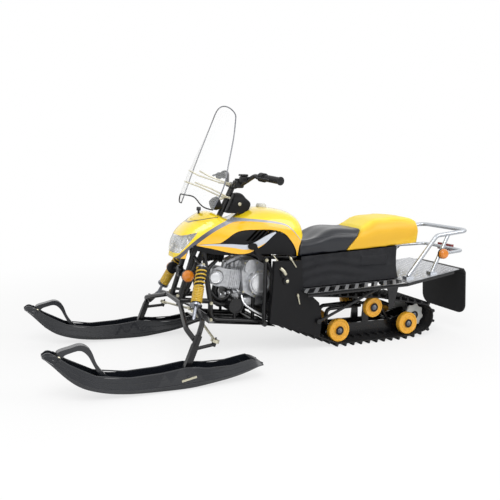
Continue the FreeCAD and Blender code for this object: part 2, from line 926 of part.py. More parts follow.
def headlight():
    return body_loft(fit_gap, 0).cut(body_loft(lens_wall, overrun)).common(lens_region())


def oval_cap(outside):
    """Oval cap with its arm, standing proud of the blades on both sides."""
    layer = body_loft(-cap_rise, cap_rise).cut(body_loft(2 * body_wall + skin_gap, overrun))
    oval = curved_region([on_body(cap_shares)])
    arm = region(on_body(cap_arm_shares))
    arm_layer = body_loft(-cap_rise / 2, overrun).cut(body_loft(2 * body_wall, far_reach))
    return layer.common(oval), arm_layer.common(arm).cut(oval)


def side_blades(skin, cap_zone):
    shell = skin.common(curved_region([on_body(blade_top_shares), on_body(blade_bottom_shares)]))
    return shell.cut(cap_zone)


def grille_slots():
    """Slanted slots side by side, as prisms across the machine."""
    u, w = grille_start_shares
    x = between(body_tail_x, body_nose_x, u)
    z = between(body_base_z, body_top_z, w)
    lean = grille_lean_shares[0] * (body_nose_x - body_tail_x)
    rise = grille_lean_shares[1] * (body_top_z - body_base_z)
    slots = []
    for i in range(grille_count):
        left = x + (i - grille_count / 2) * grille_pitch
        right = left + grille_slot * 2
        points = [(left, z), (right, z), (right - lean, z + rise), (left - lean, z + rise)]
        slots.append(region(points))
    return Part.makeCompound(slots)


def side_infill(cap, arm):
    """Dark inner shell between cover and blades, with its grille, oval caps and cap arms."""
    shell = body_loft(body_wall + skin_gap, lens_wall).cut(body_loft(2 * body_wall + skin_gap, overrun))
    shell = shell.common(curved_region([on_body(infill_top_shares), on_body(infill_low_shares)]))
    window = curved_region([on_body(blade_top_shares)[1:], on_body(cover_edge_shares)[6:0:-1]])
    shell = shell.cut(grille_slots().common(window))
    return fused([shell, cap, arm])


panel_shares = (
    (0.941, 0.928), (0.954, 0.770), (0.964, 0.608), (1.000, 0.212), (0.533, 0.108), (0.013, 0.000),
    (-0.007, 0.117), (0.000, 0.252), (0.056, 0.412), (0.237, 0.518), (0.385, 0.590), (0.414, 0.748),
    (0.431, 0.928),
)


def side_panels():
    """Hollow side covers with a rim all round and a round boss."""
    points = placed(panel_shares, panel_rear_x, panel_front_x, panel_low_z, panel_top_z)
    y0 = board_inner_y + fit_gap
    y1 = board_inner_y + panel_depth
    panel = plate_xz(points, y0, y1)
    wire = Part.makePolygon([vec(x, y0 - overrun, z) for x, z in points + points[:1]])
    inner = Part.Face(wire.makeOffset2D(-panel_wall)).extrude(vec(0, overrun + panel_depth - panel_wall, 0))
    foot = vec(panel_boss_x, y1 - panel_wall, panel_boss_z)
    boss = rod(foot, foot + Y_AXIS * (panel_wall + panel_boss_height), panel_boss_diameter)
    return both(fused([panel.cut(inner), boss]))


hood_top_share = 0.885
filler_shares = ((0, 0), (1, 0), (1, 0.75), (0.82, 0.98), (0, 1))
knob_shares = ((0, 0), (0.5, 0), (0.5, 0.55), (1, 0.55), (1, 0.9), (0.82, 1), (0, 1))


def fuel_cap(outside):
    """Filler cap on the tank, and the knob that holds the hood."""
    foot = vec(fuel_cap_x, 0, body_top_z - fuel_cap_height / 2)
    profile = [(u * fuel_cap_diameter / 2, w * fuel_cap_height) for u, w in filler_shares]
    cap = turned(profile, foot, Z_AXIS)
    profile = [(u * knob_diameter / 2, w * knob_height) for u, w in knob_shares]
    hood_top_z = between(body_base_z, body_top_z, hood_top_share)
    knob = turned(profile, vec(knob_x, 0, hood_top_z - knob_height / 4), Z_AXIS)
    return Part.makeCompound([cap.cut(outside), knob.cut(outside)])


pod_rear_shares = ((0.489, 1.0), (0.465, 0.90), (0.440, 0.62), (0.407, 0.30), (0.410, 0.0), (0.455, -0.42))
pod_front_shares = (
    (-1.0, -0.45), (-1.0, 0.2), (-0.9, 0.62), (-0.5, 0.95), (0, 1.0), (0.5, 0.95), (0.9, 0.62), (1.0, 0.2),
    (1.0, -0.45),
)


def console_pod(outside):
    """Rounded pod behind the steering column: a side view and a front view intersected."""
    def clear_of_column(z):
        return on_column(z).x - column_diameter / 2 / math.cos(column_lean) - run_gap

    low = between(body_base_z, body_top_z, hood_top_share)
    front = [(clear_of_column(low), low), (clear_of_column(pod_top_z - body_wall), pod_top_z - body_wall)]
    rear = placed(pod_rear_shares, body_tail_x, body_nose_x, body_top_z, pod_top_z)
    side = curved_xz([front, rear], -pod_half, pod_half)
    face = [(u * pod_half, between(body_top_z, pod_top_z, w)) for u, w in pod_front_shares]
    return side.common(curved_yz([face], body_tail_x, body_nose_x)).cut(outside)


# Seat
seat_station_shares = (
    (0.000, 0.92, 0.10), (0.030, 0.95, 0.42), (0.220, 0.985, 0.60), (0.420, 1.00, 0.68),
    (0.505, 1.00, 0.72), (0.590, 1.00, 0.90), (0.700, 0.99, 0.98), (0.790, 0.98, 1.00),
    (0.920, 0.96, 0.96), (0.975, 0.93, 0.90), (1.000, 0.88, 0.66),
)
seat_arch_shares = ((0.97, 0), (1, 0.4), (0.98, 0.75), (0.86, 0.93), (0.45, 0.99))
seam_shares = ((0.506, 1.442), (0.506, 0.714), (0.342, -0.065), (0.342, -0.568))
seat_nose_shares = ((-0.003, -0.568), (0.003, 0.236), (0.043, 0.638), (0.043, 1.442))


def seat_parts():
    """Front cushion and rear hump, parted along one slanted seam."""
    wires = []
    for along, wide, high in seat_station_shares:
        x = between(seat_front_x, seat_rear_x, along)
        base = between(seat_base_front_z, seat_base_rear_z, along)
        top = between(seat_base_front_z, seat_top_z, high)
        wires.append(arch_wire(x, seat_half_width * wide, base, top, seat_arch_shares))
    whole = Part.makeLoft(wires, True, False)

    def on_seat(shares):
        return placed(shares, seat_front_x, seat_rear_x, seat_base_front_z, seat_top_z)

    seam = on_seat(seam_shares)
    front = region(on_seat(seat_nose_shares) + seam)
    far = seat_rear_x - far_reach
    behind = [(x - seam_gap, z) for x, z in seam] + [(far, seam[-1][1]), (far, seam[0][1])]
    return whole.common(front), whole.common(region(behind))


def seat_skirt():
    """Body of the fabric skirt under the seat."""
    front, rear, high = seat_front_x - body_wall, skirt_rear_x, skirt_rear_x + skirt_lean
    heel = board_rear_x + skirt_heel
    outline = [
        (front, board_z(front) + fit_gap), (front, seat_base_z(front) - fit_gap),
        (high, seat_base_z(high) - fit_gap),
        (rear, board_z(rear) + 2 * sheet), (heel, board_rear_z + 2 * sheet), (heel, board_rear_z + fit_gap),
    ]
    return plate_xz(outline, -skirt_half_width, skirt_half_width)


# Boards and platform
def running_boards(panels):
    """Foot boards with slanted slots and an edge turned down."""
    top = [(board_front_x, board_front_z), (board_rear_x, board_rear_z)]
    deck = plate_xz(top + [(x, z - sheet) for x, z in reversed(top)], board_inner_y, board_outer_y)
    turned_down = top + [(x, z - board_edge) for x, z in reversed(top)]
    edge = plate_xz(turned_down, board_outer_y - sheet / 2, board_outer_y)
    slots = []
    count = int((board_front_x - board_rear_x - slot_skew) / slot_pitch)
    for i in range(1, count + 1):
        x = board_front_x - i * slot_pitch
        outer_end = [(x, slot_outer_y), (x - slot_width, slot_outer_y)]
        points = outer_end + [(x - slot_width - slot_skew, slot_inner_y), (x - slot_skew, slot_inner_y)]
        slots.append(plate_xy(points, board_front_z - overrun, board_rear_z + overrun))
    return both(fused([deck, edge]).cut(Part.makeCompound(slots))).cut(panels)


def rear_platform():
    """Tapered tread plate behind the boards, sloping up to the rear."""
    run = board_rear_x - platform_rear_x
    slope = math.atan2(platform_rear_z - board_rear_z, run)
    length = math.hypot(run, platform_rear_z - board_rear_z)
    wide, narrow = board_outer_y, platform_rear_half
    deck = plate_xy([(0, -wide), (0, wide), (-length, narrow), (-length, -narrow)], 0, sheet)
    deck.rotate(vec(0, 0, 0), Y_AXIS, math.degrees(slope))
    deck.translate(vec(board_rear_x - 3 * fit_gap, 0, board_rear_z + fit_gap / 2))
    return deck


def rack(platform, boards):
    """Carrier: an upper hoop, two struts and a lower hoop, on feet."""
    hw = rack_half_width
    foot_z = board_z(rack_foot_x) + rack_foot_height
    path = []
    for s in (1, -1):
        spots = ((rack_foot_x, foot_z), (rack_knee_x, rack_knee_z), (rack_rear_x, rack_top_z))
        leg = [vec(x, s * hw, z) for x, z in spots]
        path += leg if s > 0 else leg[::-1]
    upper = bent_tube(path, rack_tube, rack_bend)
    strut_foot = vec(strut_rack_foot_x, hw, board_z(strut_rack_foot_x) + 3 * sheet)
    strut = rod(strut_foot, vec(strut_rack_head_x, hw, strut_rack_head_z), side_post_diameter)
    hoop = [vec(hoop_front_x, hw, hoop_front_z), vec(rack_rear_x, hoop_half_width, hoop_rear_z)]
    lower = bent_tube(hoop + [vec(p.x, -p.y, p.z) for p in reversed(hoop)], hoop_tube, hoop_bend)
    feet = []
    for x in (rack_foot_x, strut_rack_foot_x):
        feet.append(box(x - rack_foot_half, x + rack_foot_half, hw - rack_foot_side, hw + rack_foot_side,
                        board_z(x), board_z(x) + rack_foot_height))
    whole = fused([upper, strut, mirrored(strut), lower] + feet + [mirrored(foot) for foot in feet])
    for layer in range(3):
        whole = whole.cut(platform.translated(vec(0, 0, -layer * sheet)))
    return whole.cut(boards)


lamp_shares = ((0, 0), (1, 0), (1, 0.5), (0.94, 0.66), (0.72, 0.9), (0, 1))


def lamps():
    """Round lamps in front and behind, and the tail lamp between the rack's tubes."""
    dome = [(u * lamp_diameter / 2, w * lamp_depth) for u, w in lamp_shares]
    front = turned(dome, vec(front_lamp_x, front_lamp_y, front_lamp_z), Y_AXIS)
    seat = rack_half_width + side_post_diameter / 2 + fit_gap
    rear = turned(dome, vec(rear_lamp_x, seat, rear_lamp_z), Y_AXIS)
    face = rack_rear_x - hoop_tube / 2 - fit_gap
    half = tail_lamp_half
    tail = box(face - tail_lamp_depth, face, -half, half, tail_lamp_low_z, tail_lamp_high_z)
    return Part.makeCompound([both(front), both(rear), tail])


def mudflap():
    """Rubber flap that hangs behind the track from the platform's edge, with rounded lower corners."""
    t = flap_thickness
    x = flap_rear_x
    lip = platform_rear_x + flap_lip
    knee, shin = platform_rear_z - flap_bend_drop, x + flap_bend_low
    bend_z = platform_rear_z - sheet
    outer = [(lip, board_z(lip) - fit_gap), (platform_rear_x, platform_rear_z - fit_gap),
             (x + flap_bend_x, bend_z), (shin, knee), (x, flap_bottom_z)]
    inner = [(x + t, flap_bottom_z), (shin + t, knee - t), (x + flap_bend_x + t, bend_z - t),
             (platform_rear_x, platform_rear_z - t), (lip, board_z(lip) - t)]
    sheet_body = plate_xz(outer + inner, -flap_half_width, flap_half_width)
    r, h, low = flap_corner, flap_half_width, flap_bottom_z
    bulge = r * (1 - math.sin(math.pi / 4))
    top = platform_rear_z + overrun
    left = [(h, low + r), (h - bulge, low + bulge), (h - r, low)]
    right = [(-y, z) for y, z in reversed(left)]
    edges = [
        Part.Arc(*[vec(x - overrun, y, z) for y, z in left]).toShape(),
        Part.LineSegment(vec(x - overrun, *left[-1]), vec(x - overrun, *right[0])).toShape(),
        Part.Arc(*[vec(x - overrun, y, z) for y, z in right]).toShape(),
        Part.LineSegment(vec(x - overrun, *right[-1]), vec(x - overrun, -h, top)).toShape(),
        Part.LineSegment(vec(x - overrun, -h, top), vec(x - overrun, h, top)).toShape(),
        Part.LineSegment(vec(x - overrun, h, top), vec(x - overrun, *left[0])).toShape(),
    ]
    return sheet_body.common(Part.Face(Part.Wire(edges)).extrude(vec(far_reach, 0, 0)))


# Frame places: shares of its length, half width and height
front_beam_shares = ((0.767, 0.536, 1.000), (0.837, 0.536, 0.839), (1.000, 0.536, 0.318))
side_tube_shares = (
    (0.733, 0.848, 0.907), (0.702, 0.875, 0.614), (0.644, 0.875, 0.278), (0.640, 0.857, 0.077),
    (0.000, 0.857, 0.000),
)
side_post_shares = ((0, 1.321, 0), (0, 1.321, 0.794))
low_link_shares = ((1, 0.536, 0.318), (0.644, 0.875, 0.299))
top_link_shares = ((0.767, 0.536, 1), (0.733, 0.875, 0.895))
lamp_stem_shares = ((0.900, 0.536, 0.636), (0.949, 1.054, 0.626))
column_stay_shares = ((0.872, 0, 0.400), (0.974, 0.536, 0.400))
crank_post_shares = ((0.058, 0.536, 0), (0.058, 0.536, 0.346))
muffler_post_shares = ((0.337, 0.857, 0.019), (0.337, 0.857, 0.210))
arm_post_shares = ((0.819, 0.750, 0.310), (0.819, 0.870, 0.243))
shock_link_shares = (0.828, 0.536, 0.825)
head_link_shares = (0.756, 0.536, 0.965)
rear_cross_share = 1.321
low_cross_shares = (0.058, 0.857)
belly_shares = ((0.709, 0.159), (0.677, 0.042), (-0.016, -0.041), (-0.198, -0.075))
shock_link_depth = 7.0


def frame_spot(u, v, w, side=1):
    x = between(frame_rear_x, frame_front_x, u)
    return vec(x, side * v * frame_half, between(frame_low_z, frame_high_z, w))


def chassis_frame(inside, others):
    """Welded tube frame round the engine, with the head tube, posts and mounts."""
    d = frame_tube
    tubes = []
    for s in (1, -1):
        for shares, width in (
            (side_post_shares, side_post_diameter), (low_link_shares, d), (top_link_shares, d),
            (lamp_stem_shares, lamp_stem_diameter), (column_stay_shares, stay_diameter),
            (crank_post_shares, post_diameter), (muffler_post_shares, cross_diameter),
            (arm_post_shares, cross_diameter),
        ):
            tubes.append(rod(frame_spot(*shares[0], s), frame_spot(*shares[1], s), width))
        tubes.append(bent_tube([frame_spot(*p, s) for p in front_beam_shares], d, front_beam_bend))
        tubes.append(bent_tube([frame_spot(*p, s) for p in side_tube_shares], d, side_tube_bend))
        eye = vec(shock_top.x, s * shock_top.y, shock_top.z)
        slide = vec(shock_axis.x, s * shock_axis.y, shock_axis.z)
        link = frame_spot(*shock_link_shares, s)
        tubes.append(rod(link, eye + slide * shock_link_depth, body_cross_diameter))
        stub = vec(arm_rear_x, s * mount_start_y, arm_rear_z)
        tubes.append(rod(stub, vec(stub.x, s * (arm_inner_y - fit_gap), stub.z), mount_diameter))
    low, high = frame_spot(0, 0, 0), frame_spot(*side_post_shares[1])
    tubes.append(cross_rod(arm_front_x, arm_front_z, arm_inner_y - fit_gap, d))
    tubes.append(cross_rod(low.x, low.z, board_inner_y, d))
    belly = frame_spot(low_cross_shares[0], 0, 0)
    tubes.append(cross_rod(belly.x, belly.z, low_cross_shares[1] * frame_half, d))
    tubes.append(cross_rod(high.x, high.z, rear_cross_share * frame_half, side_post_diameter))
    horn_bar = frame_spot(*lamp_stem_shares[0])
    tubes.append(cross_rod(horn_bar.x, horn_bar.z, horn_bar.y, cross_diameter))
    wide = column_diameter + 2 * head_tube_wall
    tubes.append(rod(on_column(head_tube_low_z), on_column(head_tube_high_z), wide))
    tubes.append(rod(on_column(foot_tube_low_z), on_column(foot_tube_high_z), wide))
    span = on_column((head_tube_low_z + head_tube_high_z) / 2)
    link = frame_spot(*head_link_shares)
    tubes.append(cross_rod(span.x, span.z, link.y, mount_diameter))
    for s in (1, -1):
        tubes.append(rod(vec(span.x, s * link.y, span.z), vec(link.x, s * link.y, link.z), mount_diameter))
    frame = fused(tubes)
    across = cross_rod(body_cross_x, body_cross_z, body_half_width + overrun, body_cross_diameter)
    cross = across.common(body_loft(2 * body_wall + skin_gap, overrun))
    extra = [frame, cross]
    for y in (tank_post_y, -tank_post_y):
        foot = vec(tank_post_x, y, tank_post_foot_z)
        post = rod(foot, vec(foot.x, y, body_top_z + overrun), body_cross_diameter)
        extra.append(post.common(inside))
        front = vec(frame_rear_x, y, tank_rail_front_z)
        extra.append(rod(front, vec(seat_front_x + body_wall, y, tank_rail_rear_z), side_post_diameter))
    frame = fused(extra)
    for other in others:
        frame = frame.cut(other)
    return frame.cut(rod(on_column(0), on_column(far_reach), column_diameter + 2 * fit_gap))


def belly_pan():
    """Curved sheet under the engine, from the front tubes to the tunnel."""
    lower = placed(belly_shares, frame_rear_x, frame_front_x, frame_low_z, frame_high_z)
    upper = [(lower[0][0] - sheet, lower[0][1]), (lower[1][0] - sheet, lower[1][1] + sheet)]
    upper += [(x, z + sheet) for x, z in lower[2:]]
    belly = frame_spot(low_cross_shares[0], 0, 0)
    bar_space = cross_rod(belly.x, belly.z, low_cross_shares[1] * frame_half, frame_tube)
    return plate_xz(lower + upper[::-1], -frame_half, frame_half).cut(bar_space)


case_shares = (
    (0.940, 0.171), (1, 0.707), (0.850, 0.976), (0.551, 1), (0.222, 0.854), (0.024, 0.610), (0, 0.268),
    (0.144, 0.132), (0.551, 0),
)
tensioner_shares = (
    (0.593, 0.688), (0.611, 0.941), (0.707, 1), (0.826, 0.971), (0.922, 0.815), (0.898, 0.688),
    (0.754, 0.649),
)
cover_profile_shares = (
    (0, 0), (1, 0), (1, 0.62), (0.92, 0.9), (0.56, 1), (0.54, 0.86), (0.44, 0.86), (0.42, 1), (0, 1),
)


def on_case(shares):
    return placed(shares, case_rear_x, case_front_x, case_low_z, case_high_z)


def engine_block():
    """Crankcase with its middle seam, flywheel cover, clutch cover and side pad."""
    points = on_case(case_shares)
    case = plate_xz(points, -case_half_width, case_half_width)
    wire = Part.makePolygon([vec(x, -case_seam / 2, z) for x, z in points + points[:1]])
    seam = Part.Face(wire.makeOffset2D(case_seam_rise)).extrude(vec(0, case_seam, 0))
    cover = [(u * cover_diameter / 2, w * cover_depth) for u, w in cover_profile_shares]
    cover = turned(cover, vec(crank_x, case_half_width, crank_z), Y_AXIS)
    clutch = [(u * clutch_diameter / 2, w * clutch_depth) for u, w in cover_profile_shares]
    clutch = turned(clutch, vec(crank_x, -case_half_width, crank_z), -Y_AXIS)
    pad = curved_xz([on_case(tensioner_shares + tensioner_shares[:1])], case_half_width,
                    case_half_width + tensioner_height)
    return fused([case, seam, cover, clutch, pad])


head_cap_shares = ((0, 0), (1, 0), (1, 0.7), (0.82, 1), (0, 1))


def engine_cylinder(block):
    """Forward leaning cylinder with its fins, the rounded head and the round side caps."""
    slope = math.atan2(head_z - crank_z, head_x - crank_x)
    hw, hh = cylinder_half_width, cylinder_half_height
    barrel = box(cylinder_start, cylinder_end, -hw, hw, -hh, hh)
    nose = rod(vec(cylinder_end, -hw, 0), vec(cylinder_end, hw, 0), head_radius * 2)
    profile = [(u * head_cap_diameter / 2, w * head_cap_depth) for u, w in head_cap_shares]
    caps = [turned(profile, vec(head_cap_offset, s * hw, 0), Y_AXIS * s) for s in (1, -1)]
    fins = []
    for i in range(fin_count):
        x = fin_start + i * fin_pitch
        wide, high = hw + fin_rise / 3, hh + fin_rise
        fins.append(box(x, x + fin_thickness, -wide, wide, -high, high))
    shape = fused([barrel, nose] + caps + fins)
    shape.rotate(vec(0, 0, 0), Y_AXIS, -math.degrees(slope))
    shape.translate(vec(crank_x, 0, crank_z))
    return shape.cut(block)


def carburettor(cylinder, block):
    """Carburettor with its bowl, on the intake pipe above the cylinder."""
    rear, front = vec(carb_rear_x, 0, carb_rear_z), vec(carb_front_x, 0, carb_front_z)
    body = rod(rear, front, carb_diameter)
    middle = (rear + front) * 0.5
    bowl = rod(middle, middle - Z_AXIS * (carb_diameter / 2 + carb_bowl_depth), carb_bowl_diameter)
    top = rod(middle, middle + Z_AXIS * (carb_diameter / 2 + intake_diameter / 2), intake_diameter)
    neck = rod(front, vec(intake_x, 0, intake_z), intake_diameter)
    return fused([body, bowl, top, neck]).cut(cylinder).cut(block)


pipe_shares = ((1.0, 1.0), (1.23, 0.52), (1.0, -0.17), (0, 0))
pipe_head_x = 330.0
pipe_head_z = 385.0


def exhaust(cylinder):
    """Cross-lying muffler with rolled rims, and the pipe from the cylinder head."""
    r, rim = muffler_diameter / 2, muffler_rim
    length = muffler_left_y - muffler_right_y
    near = [(0, rim), (r - rim, rim), (r - rim, 0), (r, 0)]
    profile = near + [(radius, length - d) for radius, d in reversed(near)]
    can = turned(profile, vec(muffler_x, muffler_right_y, muffler_z), Y_AXIS)
    points = placed(pipe_shares, muffler_x, pipe_head_x, muffler_z, pipe_head_z)
    pipe = bent_tube([vec(x, 0, z) for x, z in points], pipe_diameter, pipe_bend)
    return fused([can, pipe]).cut(cylinder)


horn_shares = ((0, 0), (0.93, 0), (1, 0.3), (1, 0.92), (0.8, 1), (0.3, 0.85), (0, 1))


def horn():
    profile = [(u * horn_diameter / 2, w * horn_depth) for u, w in horn_shares]
    return turned(profile, vec(horn_x, 0, horn_z), X_AXIS)


# Front suspension
def suspension_arms():
    """Two bent tubes on each side that carry the kingpin bush, with the bar under the damper."""
    low = on_kingpin(spindle_length + 2 * fit_gap)
    high = on_kingpin(spindle_length + 2 * fit_gap + bush_length)
    bush = ring(low, high, bush_diameter, kingpin_diameter + 2 * fit_gap)
    head = (low + high) * 0.5
    inner, outer = arm_inner_y - arm_tube, ski_y - bush_diameter / 2
    front = [
        vec(arm_front_x, inner, arm_front_z + arm_front_lift),
        vec(arm_front_knee_x, arm_bend_y, arm_front_knee_z),
        vec(head.x + arm_head_spread, outer, head.z),
    ]
    rear = [
        vec(arm_rear_x, inner, arm_rear_z), vec(arm_rear_knee_x, arm_bend_y, arm_rear_knee_z),
        vec(head.x - arm_head_spread, outer, head.z),
    ]
    foot_bar = rod(vec(foot_bar_front_x, shock_foot_y, foot_bar_front_z),
                   vec(foot_bar_rear_x, shock_foot_y, foot_bar_rear_z), foot_bar_diameter)
    arm = fused([bent_tube(front, arm_tube, arm_bend), bent_tube(rear, arm_tube, arm_bend), foot_bar])
    trim = box(arm_rear_x - far_reach, arm_front_x + far_reach, 0, arm_inner_y, 0, far_reach)
    bore = rod(low - kingpin_axis * overrun, high + kingpin_axis * overrun, kingpin_diameter + 2 * fit_gap)
    return both(fused([arm.cut(trim), bush]).cut(bore))


damper_end_share = 0.72


def shock_bodies(arms):
    """Dampers with their upper collar, spring cup and lower rod."""
    r, end = damper_diameter / 2, shock_length * damper_end_share
    cup = shock_cup / 2
    collar = shock_eye_length + shock_collar_length
    foot = end + shock_cup_thickness
    profile = [
        (0, 0), (shock_eye / 2, 0), (shock_eye / 2, shock_eye_length), (shock_collar / 2, shock_eye_length),
        (shock_collar / 2, collar), (r, collar), (r, end), (cup, end), (cup, foot),
        (damper_rod / 2, foot), (damper_rod / 2, shock_length), (0, shock_length),
    ]
    return both(turned(profile, shock_top, shock_axis)).cut(arms)


def shock_springs():
    """Spring on a thin sleeve: open coils above and close ones below, each as a ridge."""
    start = shock_eye_length + shock_collar_length + fit_gap
    end = shock_length * damper_end_share - fit_gap
    inner = damper_diameter / 2 + fit_gap
    root, crest = inner + spring_sleeve, spring_diameter / 2
    outline = [(inner, start), (root, start)]
    place = start + spring_sleeve
    index = 0
    while place + spring_wire < end - spring_sleeve:
        quarter = spring_wire / 4
        after = place + spring_wire
        outline += [(root, place), (crest, place + quarter), (crest, after - quarter), (root, after)]
        place += open_pitch if index < open_coils else tight_pitch
        index += 1
    outline += [(root, end), (inner, end)]
    return both(turned(outline, shock_top, shock_axis))


# Spindles, skis and their handles
def arm_end():
    """End of the steering arm."""
    root = on_kingpin(spindle_length - steer_arm_below)
    return root + vec(-steer_arm_length, -steer_arm_inset, steer_arm_rise)


def rod_end():
    """Middle of the tie rod eye above the steering arm."""
    return arm_end() + kingpin_axis * rod_eye_lift


def spindle():
    foot = on_kingpin(0)
    shift = vec(0, spindle_size / 2, 0)
    across = vec(math.cos(kingpin_lean), 0, math.sin(kingpin_lean)) * (spindle_size / 2)
    corners = [foot + shift + across, foot - shift + across, foot - shift - across, foot + shift - across]
    post = Part.Face(Part.makePolygon(corners + corners[:1])).extrude(kingpin_axis * spindle_length)
    pin = rod(on_kingpin(spindle_length), on_kingpin(spindle_length + kingpin_length), kingpin_diameter)
    tip = arm_end()
    arm = rod(on_kingpin(spindle_length - steer_arm_below), tip, steer_arm_diameter)
    reach = kingpin_axis * steer_boss_half
    boss = rod(tip - reach, tip + reach, steer_boss_diameter)
    stud = rod(tip, tip + kingpin_axis * stud_height, stud_diameter)
    side = vec(0, saddle_boss_half, 0)
    knuckle = rod(saddle - side, saddle + side, saddle_boss_diameter)
    bore = rod(saddle - side * 2, saddle + side * 2, saddle_pin_diameter + 2 * fit_gap)
    return fused([post, pin, arm, boss, stud, knuckle]).cut(bore)


# Ski sections along its length: share of length from the tip, keel height, rim height, width share
ski_station_shares = (
    (0.000, 0.895, 0.980, 0.30), (0.048, 0.700, 0.980, 0.62), (0.100, 0.460, 0.800, 0.80),
    (0.157, 0.275, 0.655, 0.92), (0.215, 0.170, 0.510, 0.98), (0.355, 0.045, 0.400, 1.00),
    (0.500, 0.008, 0.415, 1.00), (0.620, 0.000, 0.470, 1.00), (0.720, 0.035, 0.410, 1.00),
    (0.830, 0.100, 0.400, 0.98), (0.940, 0.215, 0.475, 0.94), (1.000, 0.285, 0.335, 0.80),
)
ski_knee_share = 0.25
ski_sole_share = 0.86
ski_rib_shares = (0.24, 0.33, 0.42, 0.74, 0.83, 0.91)
ski_bolt_shares = ((0.065, 0.912), (0.310, 0.242))


def ski():
    """Trough section ski with a keel, cross ribs, saddle plates, the saddle pin and handle bolts."""
    outer, inner, floors = [], [], []
    for along, low, high, wide in ski_station_shares:
        x = ski_tip_x - along * ski_length
        bottom = low * ski_tip_height + runner_height
        top = max(high * ski_tip_height, bottom + ski_floor)
        base, rim = ski_base_width / 2 * wide, ski_rim_width / 2 * wide
        knee = between(bottom, top, ski_knee_share)
        sole = base * ski_sole_share
        section = [(sole, bottom), (base, knee), (rim, top), (-rim, top), (-base, knee), (-sole, bottom)]
        corners = [vec(x, y, z) for y, z in section]
        outer.append(Part.makePolygon(corners + corners[:1]))
        floor = bottom + ski_floor
        wall = rim - min(ski_wall, rim / 2)
        section = [(wall, floor), (wall, top + overrun), (-wall, top + overrun), (-wall, floor)]
        corners = [vec(x, y, z) for y, z in section]
        inner.append(Part.makePolygon(corners + corners[:1]))
        floors.append((along, floor))
    cavity = Part.makeLoft(inner[:-1], True, False)
    body = Part.makeLoft(outer, True, False).cut(cavity)
    keel = []
    for along, low, high, wide in ski_station_shares[2:-1]:
        keel.append((ski_tip_x - along * ski_length, low * ski_tip_height))
    upper = [(x, z + runner_height + ski_floor / 2) for x, z in reversed(keel)]
    pieces = [body, plate_xz(keel + upper, -runner_width / 2, runner_width / 2)]
    half = ski_base_width / 2
    for share in ski_rib_shares:
        x = ski_tip_x - share * ski_length
        near = [(a, z) for a, z in floors if a <= share][-1]
        after = [(a, z) for a, z in floors if a > share][0]
        level = between(near[1], after[1], (share - near[0]) / (after[0] - near[0]))
        rib = box(x - ski_rib / 2, x + ski_rib / 2, -half, half, 0, level + ski_rib_height)
        pieces.append(rib.common(cavity))
    pin = rod(vec(saddle_x, -half, saddle_z), vec(saddle_x, half, saddle_z), saddle_pin_diameter)
    pieces.append(pin)
    inside = saddle_boss_half + 2 * fit_gap
    for s in (1, -1):
        plate = plate_xz(
            [(saddle_x - saddle_plate_reach, 0), (saddle_x + saddle_plate_reach, 0),
             (saddle_x + saddle_plate_reach / 2, saddle_z + saddle_plate_height / 2),
             (saddle_x - saddle_plate_reach / 2, saddle_z + saddle_plate_height / 2)],
            s * inside, s * (inside + saddle_plate_thickness))
        pieces.append(plate.common(cavity))
    for along, up in ski_bolt_shares:
        spot = vec(ski_tip_x - along * ski_length, 0, up * ski_tip_height)
        reach = vec(0, half - ski_wall, 0)
        pieces.append(rod(spot - reach, spot + reach, ski_bolt_diameter))
    whole = fused(pieces)
    whole.translate(vec(0, ski_y, 0))
    return whole


# Handle's foot and front end: shares of the ski's length back from its tip, and of its height
handle_back_shares = (0.328852, 0.058945)
handle_rise_shares = (0.120930, 1.116279)
handle_outer_shares = (
    (0.946, 0.748), (1, 0.879), (0.805, 0.963), (0.632, 1), (0.510, 0.916), (0.418, 0.664), (0.287, 0.402),
    (0.142, 0.234), (0, 0.131),
)
handle_inner_shares = (
    (0, 0), (0.192, 0.168), (0.326, 0.327), (0.464, 0.617), (0.556, 0.813), (0.640, 0.888), (0.785, 0.869),
    (0.900, 0.813), (0.893, 0.682),
)


def ski_handle():
    """Looped grab handle that rises from the ski's floor to its tip."""
    foot_x, front_x = [ski_tip_x - share * ski_length for share in handle_back_shares]
    foot_z, top_z = [share * ski_tip_height for share in handle_rise_shares]
    outer = placed(handle_outer_shares, foot_x, front_x, foot_z, top_z)
    inner = placed(handle_inner_shares, foot_x, front_x, foot_z, top_z)
    return curved_xz([outer, inner], ski_y - handle_width / 2, ski_y + handle_width / 2)


# Steering
pitman_root = on_column(column_foot_z + pitman_lift)
bar_centre = on_column(column_top_z) + column_axis * (bar_diameter / 2)


def pitman_ball(side):
    edge = pitman_root + column_rear * pitman_length + vec(0, side * pitman_half, 0)
    return edge - column_axis * pitman_ball_drop


def steering_column():
    """Column with the pitman plate and the two studs of the tie rods."""
    shaft = rod(on_column(column_foot_z + lamp_stem_diameter), on_column(column_top_z), column_diameter)
    wide = vec(0, pitman_half + pitman_edge, 0)
    near = vec(0, column_diameter / 2, 0)
    far = column_rear * (pitman_length + pitman_edge)
    corners = [pitman_root + near, pitman_root - near, pitman_root + far - wide, pitman_root + far + wide]
    plate = Part.Face(Part.makePolygon(corners + corners[:1])).extrude(column_axis * pitman_plate)
    studs = []
    for side in (1, -1):
        ball = pitman_ball(side)
        top = ball + column_axis * (pitman_ball_drop + pitman_plate / 2)
        studs.append(rod(ball - column_axis * (rod_eye_half + sheet), top, stud_diameter))
    return fused([shaft, plate] + studs)


def bar_points():
    end = bar_centre + column_axis * bar_rise
    points = [end + column_rear * (bar_sweep * 2) + vec(0, bar_half_width, 0)]
    points.append(end + column_rear * (bar_sweep / 2) + vec(0, bar_knee_y, 0))
    points.append(bar_centre + vec(0, bar_clamp_y, 0))
    return points + [vec(p.x, -p.y, p.z) for p in reversed(points)]


